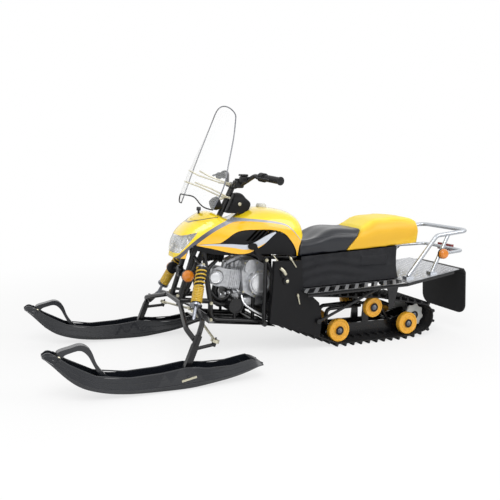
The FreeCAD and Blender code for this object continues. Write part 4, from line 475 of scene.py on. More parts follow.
class Shape:
    """Points with quads, and end caps or other faces with any number of corners."""

    def __init__(self, points, quads, caps=()):
        self.points = np.asarray(points, float).reshape(-1, 3)
        self.quads = np.asarray(quads, int).reshape(-1, 4)
        self.caps = [list(map(int, cap)) for cap in caps]

    def outward(self):
        """Turns every face outwards, by the sign of the volume that the shape encloses."""
        fans = [(cap[0], cap[k], cap[k + 1]) for cap in self.caps for k in range(1, len(cap) - 1)]
        fans = np.array(fans, int).reshape(-1, 3)
        triangles = np.vstack((self.quads[:, :3], self.quads[:, (0, 2, 3)], fans))
        a, b, c = (self.points - self.points.mean(axis=0))[triangles.T]
        if np.sum(a * np.cross(b, c)) < 0:
            self.quads = self.quads[:, ::-1]
            self.caps = [cap[::-1] for cap in self.caps]
        return self

    def mirrored(self):
        """The same shape on the other side of the machine."""
        return Shape(self.points * (1, -1, 1), self.quads[:, ::-1], [cap[::-1] for cap in self.caps])


def joined(shapes):
    """One shape out of many."""
    points, quads, caps, start = [], [], [], 0
    for shape in shapes:
        points.append(shape.points)
        quads.append(shape.quads + start)
        caps += [[k + start for k in cap] for cap in shape.caps]
        start += len(shape.points)
    return Shape(np.concatenate(points), np.concatenate(quads), caps)


def both_sides(*shapes):
    """The shapes and their mirror images: (x, y, z) and (x, -y, z)."""
    return joined(list(shapes) + [shape.mirrored() for shape in shapes])


def closed_rings(points):
    """Closed surface through rings of points, with a cap on its first ring and one on its last."""
    rows, columns = points.shape[:2]
    caps = [range(columns), range((rows - 1) * columns, rows * columns)[::-1]]
    return Shape(points, grid_faces(rows, columns, True), caps).outward()


def mesh_of(name, shape, finish):
    """Mesh of the shape's points and faces, in its finish."""
    mesh = bpy.data.meshes.new(name)
    mesh.from_pydata(shape.points.tolist(), [], shape.quads.tolist() + shape.caps)
    shade(mesh, finish)
    return mesh


def make_piece(name, shape, finish, slot, body=MACHINE, nodes=()):
    """Object at the origin with the shape's faces, its edges sharp past a set angle."""
    mesh = mesh_of(name, shape, finish)
    mesh.set_sharp_from_angle(angle=SHARP)
    settle(new_object(name, mesh), body, nodes)


def unit(vectors):
    """The same directions, of length 1."""
    return vectors / np.linalg.norm(vectors, axis=-1, keepdims=True)


def rings(side, lift, angle):
    """Unit circles: cos a * side + sin a * lift."""
    return np.cos(angle)[..., None] * side + np.sin(angle)[..., None] * lift


def tube(path, radius, sides=12, reference=SIDEWAYS):
    """Circle of the radius carried along the path, with closed ends: point + radius * ring."""
    path = np.asarray(path, float)
    ahead = unit(np.gradient(path, axis=0))
    side = unit(np.cross(ahead, np.asarray(reference, float)))
    lift = np.cross(side, ahead)
    angle = np.linspace(0, 2 * np.pi, sides, endpoint=False)
    radius = np.broadcast_to(np.asarray(radius, float), (len(path),))[:, None, None]
    return closed_rings(path[:, None] + radius * rings(side[:, None], lift[:, None], angle[None]))


def smooth_path(points, count):
    """Catmull-Rom curve through the points, sampled evenly in its parameter."""
    points = np.asarray(points, float)
    padded = np.vstack((2 * points[0] - points[1], points, 2 * points[-1] - points[-2]))
    t = np.linspace(0, len(points) - 1, count)
    k = np.minimum(t.astype(int), len(points) - 2)
    u = (t - k)[:, None]
    a, b, c, d = padded[k], padded[k + 1], padded[k + 2], padded[k + 3]
    square, cube = 2 * a - 5 * b + 4 * c - d, 3 * b - a - 3 * c + d
    return 0.5 * (2 * b + (c - a) * u + square * u ** 2 + cube * u ** 3)


def turned_shape(profile, origin, axis=SIDEWAYS, segments=32):
    """Profile of (radius, distance) turned about the axis: origin + distance * axis + radius * ring."""
    profile = np.asarray(profile, float)
    axis = unit(np.asarray(axis, float))
    side = unit(np.cross(axis, UP if abs(axis[2]) < 0.9 else (1, 0, 0)))
    lift = np.cross(axis, side)
    ring = rings(side, lift, np.linspace(0, 2 * np.pi, segments, endpoint=False))
    return closed_rings(np.asarray(origin, float) + profile[:, None, 1:] * axis + profile[:, None, :1] * ring)


# A bolt's washer and head: shares of half the head's breadth, and of its height
WASHER, HEX_HEAD = ((1.25, -0.2), (1.25, 0.22)), ((1, 0.2), (1, 0.85), (0.86, 1))


def bolt(place, axis, across, height):
    """Hex head on its washer, with a chamfered top."""
    washer, head = (np.array(profile) * (across / 2, height) for profile in (WASHER, HEX_HEAD))
    return [turned_shape(washer, place, axis, 16), turned_shape(head, place, axis, 6)]


# Padded seat: how much smaller the start is all round, the farthest way of a point, the filling's share
PAD_SHRINK, PAD_REACH, PAD_FILL = 0.0025, 0.005, 0.85
PAD_VOXEL, PAD_FRAMES = 0.006, 20
PAD_PRESSURE, PAD_STIFFNESS = 4.0, 25
PAD_ROUNDS = 110
# Welts: half of their breadth, where their rays start and which way they go, on the left, and their count
WELT_RADIUS, WELT_START_Y, WELT_RAY, WELT_POINTS = 0.0019, 0.22, (-0.62, -0.78), 70


def points_of(mesh):
    """The mesh's points as rows of x, y, z."""
    points = np.empty(len(mesh.vertices) * 3)
    mesh.vertices.foreach_get("co", points)
    return points.reshape(-1, 3)


def shown_mesh(piece):
    """Mesh that the piece's modifiers give now."""
    graph = bpy.context.evaluated_depsgraph_get()
    return bpy.data.meshes.new_from_object(piece.evaluated_get(graph))


def bake_shape(piece):
    """Makes the modifiers' mesh the piece's own."""
    mesh = shown_mesh(piece)
    piece.modifiers.clear()
    piece.data = mesh
    return mesh


def tautened(mesh, way):
    """The points' ways averaged with their neighbours', round after round, as a stretched cover evens out."""
    ends = np.empty(len(mesh.edges) * 2, np.int32)
    mesh.edges.foreach_get("vertices", ends)
    a, b = ends[::2], ends[1::2]
    count = len(way)
    degree = np.bincount(ends, minlength=count)[:, None]
    for _ in range(PAD_ROUNDS):
        near = [np.bincount(a, way[b, k], count) + np.bincount(b, way[a, k], count) for k in range(3)]
        way = 0.5 * way + 0.5 * np.stack(near, axis=1) / degree
    return way


def swell(piece, mesh):
    """Inflates the piece as cloth and moves its points that way, evened out and no farther than allowed."""
    start = points_of(mesh)
    cloth = piece.modifiers.new("swell", "CLOTH").settings
    cloth.use_pressure = True
    cloth.uniform_pressure_force = PAD_PRESSURE
    cloth.effector_weights.gravity = 0
    cloth.tension_stiffness = PAD_STIFFNESS
    cloth.compression_stiffness = PAD_STIFFNESS
    for step in range(1, PAD_FRAMES + 1):
        bpy.context.scene.frame_set(step)
    way = points_of(shown_mesh(piece)) - start
    piece.modifiers.clear()
    length = np.linalg.norm(way, axis=1, keepdims=True)
    way = tautened(mesh, way * np.minimum(1, PAD_REACH / np.maximum(length, 1e-9)))
    mesh.vertices.foreach_set("co", (start + way).ravel())
    bpy.context.scene.frame_set(1)


def padded_cover(node, name, finish):
    """Swells a slightly smaller copy of the node, meshed evenly, then halves its faces."""
    mesh = merged_copy(node)
    piece = new_object(name, mesh)
    points = points_of(mesh)
    middle = points.mean(axis=0)
    half = np.abs(points - middle).max(axis=0)
    mesh.vertices.foreach_set("co", (middle + (points - middle) * (1 - PAD_SHRINK / half)).ravel())
    remesh = piece.modifiers.new("even", "REMESH")
    remesh.mode = "VOXEL"
    remesh.voxel_size = PAD_VOXEL
    remesh.use_smooth_shade = True
    even = bake_shape(piece)
    swell(piece, even)
    finer = piece.modifiers.new("finer", "SUBSURF")
    finer.levels = finer.render_levels = 1
    shade(bake_shape(piece), finish)
    settle(piece, MACHINE, (node,))
    return piece


def seam_on(piece, name, x_from, x_to, start_height, finish):
    """Raised welts along both shoulders, where rays slanting in from above each side meet the cover."""
    corners = np.empty(len(piece.data.loops), np.int32)
    piece.data.loops.foreach_get("vertex_index", corners)
    tree = BVHTree.FromPolygons(points_of(piece.data).tolist(), corners.reshape(-1, 4).tolist())
    welts = []
    for sign in (1, -1):
        ray = Vector((0, sign * WELT_RAY[0], WELT_RAY[1]))
        places = np.linspace(x_from, x_to, WELT_POINTS)
        hits = [tree.ray_cast(Vector((x, sign * WELT_START_Y, start_height)), ray)[0] for x in places]
        spots = np.array([hit[:] for hit in hits if hit is not None])
        welts.append(tube(spots, WELT_RADIUS, 8, UP))
    make_piece(name, joined(welts), finish, "seat_cover")


# Fabric skirt: left side from the front, across the rear, and back along the right side
SKIRT_FRONT_X, SKIRT_REAR_X, SKIRT_HALF, SKIRT_CORNER = -0.102, -0.748, 0.1445, 0.022
SKIRT_TOP = ((-0.102, 0.5125), (-0.724, 0.5480))
SKIRT_FOOT = ((-0.102, 0.3455), (-0.709, 0.3625), (-0.748, 0.3660))
SKIRT_HEIGHT, SKIRT_THICKNESS = 0.172, 0.0012
# The rear leans ahead towards its top: by how much, from which x on, and over what length
LEAN, LEAN_FROM_X, LEAN_LENGTH = 0.024, -0.55, 0.198
# Folds: depth and waves, then their sway and its waves, or their start and slant, or their slant alone
UPRIGHT_FOLD, FOOT_FOLD, GATHERS = (0.0030, 41, 3.2, 7), (0.0042, 17, 1.0, 2.6), (0.0022, 93, 4.0)
CREASES, CREASE_PLACES = (0.0020, 20, 3.4, 9.0), (5.3, 0.6)
SKIRT_SAG = 0.0055
# Pocket on the left: its box, edge, height, calm, and its stitched line; hems near foot and top
POCKET_X, POCKET_Z = (-0.650, -0.480), (0.446, 0.500)
POCKET_EDGE, POCKET_PROUD, POCKET_CALM = 0.003, 0.0015, 0.75
STITCH_IN, STITCH_HALF, STITCH_DEPTH = 0.008, 0.0018, 0.0008
HEMS, HEM_HALF, HEM_DEPTH = (0.955, 0.05), 0.012, 0.0006


def skirt_plan(s):
    """Way along the skirt to x, y and the outward normal: a path of inner corners, pushed out by the radius.

    inner(s) + radius * (cos a, sin a), where a turns from 90 to 270 degrees over the two corners."""
    r, front, rear = SKIRT_CORNER, SKIRT_FRONT_X, SKIRT_REAR_X + SKIRT_CORNER
    half, bend = SKIRT_HALF - r, np.pi / 2 * r
    ends = np.cumsum([0, front - rear, bend, 2 * half, bend, front - rear])
    s = s * ends[-1]
    a = np.interp(s, ends, np.radians((90, 90, 180, 180, 270, 270)))
    x = np.interp(s, ends, (front, rear, rear, rear, rear, front))
    y = np.interp(s, ends, (half, half, half, -half, -half, -half))
    return s, x + r * np.cos(a), y + r * np.sin(a), np.cos(a), np.sin(a)


def skirt_surface(columns=420, rows=46):
    """Hanging cloth: plan(s) + normal(s) * fold(s, v), at share v of the way from its top line to its foot.

    The fold is a sum of products of sines of the way along and of the height; the pocket lies proud."""
    s, x, y, nx, ny = skirt_plan(np.linspace(0, 1, columns))
    v = np.linspace(0, 1, rows)[:, None]
    top, foot = (np.interp(-x, *(np.array(line).T * ((-1,), (1,)))) for line in (SKIRT_TOP, SKIRT_FOOT))
    z = top + (foot - top) * v
    lean = LEAN * np.clip((LEAN_FROM_X - x) / LEAN_LENGTH, 0, 1) ** 2
    px = x + lean * (1 - v) ** 0.8
    drop = np.sin(np.pi * v)
    depth, waves, sway, sway_waves = UPRIGHT_FOLD
    fold = depth * np.sin(s * waves + sway * v * np.sin(s * sway_waves)) * drop
    depth, waves, start, slant = FOOT_FOLD
    fold += depth * np.sin(s * waves + start + slant * v) * v ** 0.7 * (1.02 - v)
    depth, waves, slant = GATHERS
    fold += depth * np.sin(s * waves + slant * v ** 2) * (1 - v) ** 3
    depth, waves, sway, sway_waves = CREASES
    places = 0.5 + 0.5 * np.sin(s * CREASE_PLACES[0] + CREASE_PLACES[1])
    fold += depth * np.sin(waves * v + sway * np.sin(s * sway_waves)) * drop * places
    fold -= SKIRT_SAG * drop
    inside = np.minimum(px - POCKET_X[0], POCKET_X[1] - px)
    inside = np.minimum(inside, np.minimum(z - POCKET_Z[0], POCKET_Z[1] - z))
    pocket = np.clip(inside / POCKET_EDGE, 0, 1) * (y > 0)
    stitch = np.exp(-((inside - STITCH_IN) / STITCH_HALF) ** 2) * (y > 0)
    fold = fold * (1 - POCKET_CALM * pocket) + POCKET_PROUD * pocket - STITCH_DEPTH * stitch
    fold = fold - HEM_DEPTH * sum(np.exp(-((v - hem) / HEM_HALF) ** 2) for hem in HEMS)
    points = np.stack((px + nx * fold, y + ny * fold, np.broadcast_to(z, px.shape)), axis=-1)
    return points, float(s[-1])


def make_skirt():
    """The cloth, with a thin wall about its surface, hung from the seat."""
    points, around = skirt_surface()
    mesh = mesh_of("skirt_fabric", Shape(points, grid_faces(*points.shape[:2])), "skirt_cloth")
    piece = settle(new_object("skirt_fabric", mesh), MACHINE, ("seat_skirt",))
    wall = piece.modifiers.new("thickness", "SOLIDIFY")
    wall.thickness = SKIRT_THICKNESS
    wall.offset = 0


# Dampers: top eye, foot eye, and how the coils are spread along the way between them
SHOCK_TOP, SHOCK_FOOT = np.array((0.455, 0.168, 0.500)), np.array((0.544, 0.300, 0.262))
SHOCK_AXIS = unit(SHOCK_FOOT - SHOCK_TOP)
SPRING_START, SPRING_END, SPRING_SAMPLES = 0.021, 0.197, 620
OPEN_TURNS, TIGHT_TURNS, OPEN_SHARE = 5.0, 9.5, 0.56
SPRING_RADIUS, WIRE_RADIUS = 0.0228, 0.0040
# Profile of the dark sleeve inside the coils, along the same way
SLEEVE = ((0.0186, 0.020), (0.0186, 0.10), (0.0190, 0.102), (0.0190, 0.196), (0.0186, 0.198))


def spring_coils():
    """Helix about the damper's line: top + way(turns) * axis + radius * ring.

    Its pitch is wide in the upper part and narrow in the lower part."""
    side = unit(np.cross(SHOCK_AXIS, SIDEWAYS))
    lift = np.cross(SHOCK_AXIS, side)
    turns = np.linspace(0, OPEN_TURNS + TIGHT_TURNS, SPRING_SAMPLES)
    share = np.interp(turns, (0, OPEN_TURNS, OPEN_TURNS + TIGHT_TURNS), (0, OPEN_SHARE, 1))
    along = (SPRING_START + share * (SPRING_END - SPRING_START))[:, None] * SHOCK_AXIS
    path = SHOCK_TOP + along + SPRING_RADIUS * rings(side, lift, turns * 2 * np.pi)
    return tube(path, WIRE_RADIUS, 10, SHOCK_AXIS)


# Windshield: height, place along X and half width, from its foot to its top
SHIELD_STATIONS = ((0.765, 0.515, 0.2325), (0.8757, 0.4804, 0.25), (0.9914, 0.4286, 0.225),
                   (1.1272, 0.3638, 0.185), (1.268, 0.299, 0.125))
SHIELD_BULGE = 1.472
SHIELD_CROWN_Z, SHIELD_CROWN_RISE = 1.203, 0.0625
SHIELD_FOOT_Z, SHIELD_ARCH_RISE, SHIELD_ARCH_HALF = 0.765, 0.061, 0.148
SHIELD_THICKNESS, SHIELD_EDGE_RADIUS, SHIELD_FOOT_RADIUS = 0.0035, 0.0031, 0.0033
SHIELD_TRIM_REFERENCE = (1, 0, 0.3)


def shield_surface(columns=121, rows=90):
    """Bent sheet: y = u * half(z), x = line(z) - bulge * y^2, between an arched foot and an elliptic top.

    The foot is at foot + rise / (1 + (y / arch half)^6), the top at crown + rise * sqrt(1 - u^2)."""
    u = np.sin(np.linspace(-np.pi / 2, np.pi / 2, columns))[None, :]
    v = np.linspace(0, 1, rows)[:, None]
    heights, places, halves = smooth_path(SHIELD_STATIONS, 200).T
    arch = u * np.interp(SHIELD_FOOT_Z, heights, halves) / SHIELD_ARCH_HALF
    low = SHIELD_FOOT_Z + SHIELD_ARCH_RISE / (1 + arch ** 6)
    high = SHIELD_CROWN_Z + SHIELD_CROWN_RISE * np.sqrt(1 - u ** 2)
    z = low + (high - low) * v
    y = u * np.interp(z, heights, halves)
    x = np.interp(z, heights, places) - SHIELD_BULGE * y ** 2
    return np.stack((x, y, z), axis=-1)


def make_windshield():
    """Clear sheet with a narrow grey edge round it and a thicker dark one along its foot."""
    points = shield_surface()
    rows, columns = points.shape[:2]
    outer = points.reshape(-1, 3)
    count = len(outer)
    front = grid_faces(rows, columns)
    sides = (np.arange(columns), np.arange(2 * columns - 1, count, columns),
             np.arange(count - 2, count - columns - 1, -1), np.arange(count - 2 * columns, 0, -columns))
    border = np.concatenate(sides)
    after = np.roll(border, -1)
    wall = np.stack((border, after, after + count, border + count), axis=-1)
    both = np.vstack((outer, outer - (SHIELD_THICKNESS, 0, 0)))
    shape = Shape(both, np.vstack((front, front[:, ::-1] + count, wall))).outward()
    make_piece("windshield_sheet", shape, "shield_clear", "shield_clear", STEERING, ("windshield",))
    middle = outer - (SHIELD_THICKNESS / 2, 0, 0)
    rim = np.vstack((middle[border[columns - 1:]], middle[:1]))
    edge = tube(rim, SHIELD_EDGE_RADIUS, 8, SHIELD_TRIM_REFERENCE)
    make_piece("windshield_edge", edge, "rim_grey", "black_plastic", STEERING)
    foot = tube(middle[:columns], SHIELD_FOOT_RADIUS, 8, SHIELD_TRIM_REFERENCE)
    make_piece("windshield_foot_trim", foot, "dark_trim", "black_plastic", STEERING)


# Wheels and rear discs: places in x and z, the y of their outer faces, and the profiles turned there
WHEEL_SPOTS, WHEEL_FACE_Y = ((-0.368, 0.0878), (-0.840, 0.0878), (-0.590, 0.202)), 0.1375
DISC_SPOT, DISC_FACE_Y = (-0.925, 0.118), 0.0845
HUB_RING = ((0.0235, -0.002), (0.0250, 0.0005), (0.0240, 0.0030), (0.0165, 0.0036), (0.0150, 0.0012))
HUB_CAP = ((0.0140, 0.0), (0.0140, 0.0040), (0.0120, 0.0056))
HUB_NUT = ((0.0085, 0.004), (0.0085, 0.0095), (0.0070, 0.0105))
STUD, STUDS, STUD_RING, STUD_DEPTH = ((0.0046, 0), (0.0046, 0.0016), (0.0036, 0.0024)), 8, 0.0405, 0.0052


def hub_pieces():
    """Black hub ring and grey nut on every wheel's outer face."""
    spots = [(x, WHEEL_FACE_Y, z) for x, z in WHEEL_SPOTS] + [(DISC_SPOT[0], DISC_FACE_Y, DISC_SPOT[1])]
    hubs = [turned_shape(HUB_RING, spot, segments=40) for spot in spots]
    nuts = []
    for spot in spots:
        nuts += [turned_shape(HUB_CAP, spot, segments=28), turned_shape(HUB_NUT, spot, segments=6)]
    return both_sides(*hubs), both_sides(*nuts)


def wheel_studs():
    """Shallow studs in a ring on every wheel's face."""
    studs = []
    for x, z in WHEEL_SPOTS:
        for a in 2 * np.pi * (np.arange(STUDS) + 0.5) / STUDS:
            place = (x + STUD_RING * np.cos(a), WHEEL_FACE_Y - STUD_DEPTH, z + STUD_RING * np.sin(a))
            studs.append(turned_shape(STUD, place, segments=10))
    return both_sides(*studs)


# Rear platform: front and rear in x, z and half width; lozenges' rows, columns, pitch, margin and size
PLATE_FRONT, PLATE_REAR = (-0.712, 0.3646, 0.270), (-1.110, 0.4111, 0.222)
TREAD_ROWS, TREAD_COLUMNS, TREAD_PITCH, TREAD_MARGIN = 15, 17, 0.027, 0.016
TREAD_LONG, TREAD_WIDE, TREAD_HIGH, TREAD_SUNK = 0.0115, 0.0032, 0.0013, 0.0004
# Feet of the rack, which the lozenges leave clear
RACK_FEET_X, RACK_FOOT_Y, RACK_FOOT_HALF = (-0.767, -0.936), 0.195, (0.036, 0.028)
# A lozenge's corners along, across and up; its two long faces and four end faces
LOZENGE = np.array(((-1, 0, 0), (-0.55, -1, 0), (0.55, -1, 0), (1, 0, 0), (0.55, 1, 0), (-0.55, 1, 0),
                    (-0.7, 0, 1), (0.7, 0, 1)))
LOZENGE_QUADS = np.array(((1, 2, 7, 6), (4, 5, 6, 7)))
LOZENGE_ENDS = np.array(((0, 1, 6), (5, 0, 6), (2, 3, 7), (3, 4, 7)))


def tread_marks():
    """Raised lozenges in staggered rows over the sloping rear platform.

    Corner = middle + (long * u, wide * w) turned by plus or minus 45 degrees, at slope(x) + high * h."""
    (x0, z0, half0), (x1, z1, half1) = PLATE_FRONT, PLATE_REAR
    i, j = (k.ravel() for k in np.meshgrid(np.arange(TREAD_ROWS), np.arange(TREAD_COLUMNS), indexing="ij"))
    cx = x0 - TREAD_MARGIN - i * TREAD_PITCH
    cy = (j - (TREAD_COLUMNS - 1) / 2 + (i % 2) / 2 - 0.25) * TREAD_PITCH
    clear = np.abs(cy) < half0 + (half1 - half0) * (cx - x0) / (x1 - x0) - TREAD_MARGIN
    for foot_x in RACK_FEET_X:
        beside = np.abs(np.abs(cy) - RACK_FOOT_Y) < RACK_FOOT_HALF[1]
        clear &= ~((np.abs(cx - foot_x) < RACK_FOOT_HALF[0]) & beside)
    cx, cy = cx[clear], cy[clear]
    odd = (np.round((cx - x0) / TREAD_PITCH) + np.round(cy / TREAD_PITCH)).astype(int) % 2
    a = np.where(odd, 1.0, -1.0)[:, None] * np.pi / 4
    u, w, h = LOZENGE.T
    px = cx[:, None] + TREAD_LONG * u * np.cos(a) - TREAD_WIDE * w * np.sin(a)
    py = cy[:, None] + TREAD_LONG * u * np.sin(a) + TREAD_WIDE * w * np.cos(a)
    pz = z0 + (px - x0) * (z1 - z0) / (x1 - x0) + h * TREAD_HIGH - (1 - h) * TREAD_SUNK
    base = np.arange(len(cx))[:, None, None] * len(LOZENGE)
    ends = (base + LOZENGE_ENDS).reshape(-1, 3).tolist()
    floors = (base[:, 0] + np.arange(6)[::-1]).tolist()
    return Shape(np.stack((px, py, pz), axis=-1), (base + LOZENGE_QUADS).reshape(-1, 4), ends + floors)


# Skis: middle line, tip, length, heights, half widths at the keel and the rim
SKI_Y, SKI_TIP_X, SKI_LENGTH = 0.417, 1.224, 0.967
SKI_HEIGHT, SKI_RUNNER, SKI_FLOOR = 0.215, 0.008, 0.009
SKI_BASE_HALF, SKI_RIM_HALF = 0.058, 0.046
# Along from the tip, keel height, rim height, width, as shares
SKI_STATIONS = (
    (0.000, 0.895, 0.980, 0.30), (0.048, 0.700, 0.980, 0.62), (0.100, 0.460, 0.800, 0.80),
    (0.157, 0.275, 0.655, 0.92), (0.215, 0.170, 0.510, 0.98), (0.355, 0.045, 0.400, 1.00),
    (0.500, 0.008, 0.415, 1.00), (0.620, 0.000, 0.470, 1.00), (0.720, 0.035, 0.410, 1.00),
    (0.830, 0.100, 0.400, 0.98), (0.940, 0.215, 0.475, 0.94), (1.000, 0.285, 0.335, 0.80),
)
# Bolts of the grab loops: x, z and half of the width that they hold; their profile
SKI_BOLTS = ((1.161, 0.196, 0.0185), (0.924, 0.052, 0.0475))
SKI_BOLT = ((0.0085, 0), (0.0085, 0.0016), (0.0066, 0.0042), (0.0030, 0.0056))
# Lock bar: its corners in x and z, and the distances of its two faces from the ski's middle line
LOCK_BAR, LOCK_BAR_Y = ((0.584, 0.054), (0.652, 0.041), (0.654, 0.050), (0.586, 0.063)), (0.0515, 0.0565)
# Beads: share of the way from keel to rim, the half width there, radius
BEADS = ((1.0, SKI_RIM_HALF, 0.0032), (0.25, SKI_BASE_HALF, 0.0024),
         (0.62, SKI_BASE_HALF + (SKI_RIM_HALF - SKI_BASE_HALF) * (0.62 - 0.25) / 0.75, 0.0016))
BEAD_SAMPLES = 90


def ski_trim(sign):
    """Bright bolt heads on both flanks, and the saddle's flat lock bar."""
    heads = [turned_shape(SKI_BOLT, (x, sign * SKI_Y + outer * half, z), (0, outer, 0), 20)
             for x, z, half in SKI_BOLTS for outer in (1, -1)]
    low, high = ([(x, sign * (SKI_Y + y), z) for x, z in LOCK_BAR] for y in LOCK_BAR_Y)
    walls = [(0, 1, 5, 4), (1, 2, 6, 5), (2, 3, 7, 6), (3, 0, 4, 7)]
    return joined(heads + [Shape(low + high, walls, [(3, 2, 1, 0), (4, 5, 6, 7)]).outward()])


def ski_beads(sign):
    """Raised beads along both flanks of the ski, at its rim, at its knee and between.

    Each is a tube along (x, half * width(x), keel(x) + share * (rim(x) - keel(x)))."""
    along, low, high, wide = np.array(SKI_STATIONS).T
    bottom = low * SKI_HEIGHT + SKI_RUNNER
    top = np.maximum(high * SKI_HEIGHT, bottom + SKI_FLOOR)
    t = np.linspace(0, len(along) - 1, BEAD_SAMPLES)
    beads = []
    for share, half, radius in BEADS:
        for outer in (1, -1):
            line = (SKI_TIP_X - along * SKI_LENGTH, sign * SKI_Y + outer * half * wide,
                    bottom + (top - bottom) * share)
            path = np.column_stack([np.interp(t, np.arange(len(along)), c) for c in line])
            beads.append(tube(path, radius, 8))
    return joined(beads)


# Side panels: the pins' outer and inner ends in x and z, their radius along; bracket, shift rod, boss
PANEL_Y = 0.197
PANEL_PINS = (((-0.007, 0.521), (-0.047, 0.468)), ((-0.060, 0.326), (-0.076, 0.272)))
PIN_SHARES, PIN_RADII = (0, 0.1, 0.22, 0.3, 1), (0.004, 0.0075, 0.0075, 0.0042, 0.0030)
PIN_SAMPLES, PIN_SLANT = 12, 0.004
PIN_BOLT = ((0.0035, -0.006), (0.0035, 0.004), (0.0022, 0.0055))
PANEL_BRACKET = ((0.046, 0.198, 0.468), (0.028, 0.201, 0.452), (0.016, 0.200, 0.434))
SHIFT_ROD = ((0.059, 0.118, 0.535), (0.024, 0.150, 0.478))
BOSS_PLACE = (0.009, 0.1975, 0.400)
BOSS = ((0.0175, -0.004), (0.0175, 0.004), (0.0145, 0.0050), (0.0145, 0.0085), (0.0095, 0.0095))
BOSS_CAP = ((0.0085, 0.008), (0.0085, 0.0115), (0.0065, 0.0130))


def panel_pins():
    """Two long zinc pins with round heads on each side panel, a bracket and a thin shift rod."""
    shapes = []
    for (x0, z0), (x1, z1) in PANEL_PINS:
        path = np.linspace((x0, PANEL_Y, z0), (x1, PANEL_Y - PIN_SLANT, z1), PIN_SAMPLES)
        shapes.append(tube(path, np.interp(np.linspace(0, 1, PIN_SAMPLES), PIN_SHARES, PIN_RADII)))
        shapes.append(turned_shape(PIN_BOLT, (x0, PANEL_Y, z0), segments=14))
    shapes.append(tube(smooth_path(PANEL_BRACKET, 10), 0.0085))
    shapes.append(tube(np.linspace(*SHIFT_ROD, 8), 0.0028, 8))
    return both_sides(*shapes)


# Bolt heads: width across and height
COVER_HEAD, BLOCK_HEAD = (0.0085, 0.005), (0.009, 0.006)
FRAME_HEAD, SHOCK_HEAD = (0.014, 0.008), (0.016, 0.009)
# Round side covers: middle in x and z, bolts in each ring, and the ring's radius and y on each side
COVER_MIDDLE, COVER_BOLTS, COVER_RINGS = (0.110, 0.375), 6, ((0.0615, 0.0995), (0.0710, -0.1115))
BLOCK_FACE_Y = 0.0775
BLOCK_BOLTS = ((0.052, 0.345), (0.058, 0.430), (0.120, 0.480), (0.188, 0.480), (0.196, 0.330), (0.130, 0.305))
FRAME_BOLTS = (
    (0.5255, 0.062, 0.308), (0.458, 0.112, 0.276), (0.542, 0.062, 0.330), (0.383, 0.110, 0.291),
    (0.383, 0.108, 0.205), (0.106, 0.108, 0.172), (0.106, 0.1595, 0.505),
)
SHOCK_BOLT = (0.455, 0.178, 0.500)


def cover_bolts():
    """Hex heads round the flywheel cover and the clutch cover, and over the crankcase."""
    heads = []
    x, z = COVER_MIDDLE
    for a in 2 * np.pi * (np.arange(COVER_BOLTS) + 0.25) / COVER_BOLTS:
        for radius, y in COVER_RINGS:
            place = (x + radius * np.cos(a), y, z + radius * np.sin(a))
            heads += bolt(place, (0, np.sign(y), 0), *COVER_HEAD)
    for x, z in BLOCK_BOLTS:
        for sign in (1, -1):
            heads += bolt((x, sign * BLOCK_FACE_Y, z), (0, sign, 0), *BLOCK_HEAD)
    return joined(heads)


def frame_bolts():
    """Hex heads where the frame's tubes meet, and at the shocks' tops."""
    heads = []
    for place in FRAME_BOLTS:
        heads += bolt(place, SIDEWAYS, *FRAME_HEAD)
    return both_sides(*heads, *bolt(SHOCK_BOLT, SIDEWAYS, *SHOCK_HEAD))


# Domed disc's profile: radius and height as shares, after a rim that reaches this far into its seat
DISC_SEAT = 0.002
DOME = ((1, 0.45), (0.97, 0.8), (0.88, 0.8), (0.84, 0.55), (0.6, 0.8), (0.3, 1))
DOME_TIP = (0.001, 1.05)
BOX_POLE = 0.02


def domed_disc(place, reach, height):
    """Low dome with a rounded rim and a raised ring near its edge, facing away from the machine's middle."""
    profile = [(reach, -DISC_SEAT)] + [(reach * r, height * h) for r, h in DOME]
    profile.append((DOME_TIP[0], height * DOME_TIP[1]))
    return turned_shape(profile, place, (0, np.sign(place[1]), 0), 48)


def rounded_box(middle, size, power=4.0, columns=40, rows=24):
    """Superellipsoid: half size * sign(c) * |c|^(2/power) of the cosines and sines of two angles."""
    def bent(value):
        return np.sign(value) * np.abs(value) ** (2 / power)
    turn = np.linspace(0, 2 * np.pi, columns, endpoint=False)[None, :]
    rise = np.linspace(-np.pi / 2 + BOX_POLE, np.pi / 2 - BOX_POLE, rows)[:, None]
    x = bent(np.cos(rise)) * bent(np.cos(turn))
    y = bent(np.cos(rise)) * bent(np.sin(turn))
    z = bent(np.sin(rise)) * np.ones_like(turn)
    return closed_rings(np.stack((x, y, z), axis=-1) * np.asarray(size) / 2 + np.asarray(middle))


# Engine's pipes: points, samples, radius, sides
COOLING_PIPE = (((0.345, 0.070, 0.500), (0.391, 0.088, 0.464), (0.399, 0.092, 0.403), (0.388, 0.080, 0.345),
                 (0.370, 0.066, 0.300), (0.327, 0.060, 0.272), (0.272, 0.060, 0.265)), 90, 0.0095, 14)
BREATHER_PIPE = (((0.082, 0.110, 0.492), (0.063, 0.124, 0.444), (0.064, 0.130, 0.390), (0.057, 0.118, 0.325)),
                 50, 0.0070, 12)
INTAKE_LOOP = (((0.360, 0.045, 0.330), (0.330, 0.055, 0.300), (0.290, 0.055, 0.296), (0.262, 0.045, 0.318),
                (0.258, 0.035, 0.345)), 60, 0.0075, 12)
LEVER = (((0.215, 0.100, 0.318), (0.208, 0.121, 0.280), (0.160, 0.124, 0.243), (0.091, 0.124, 0.206)),
         50, 0.0055, 12)
LEVER_PEDAL = ((0.011, -0.014), (0.0125, -0.010), (0.0125, 0.012), (0.011, 0.016))
# Ribbed air duct: its points, radius, ribs' height and count, samples
DUCT = ((0.362, -0.052, 0.502), (0.310, -0.052, 0.508), (0.265, -0.045, 0.494))
DUCT_RADIUS, DUCT_RIB, DUCT_RIBS, DUCT_SAMPLES = 0.0275, 0.0022, 8, 61
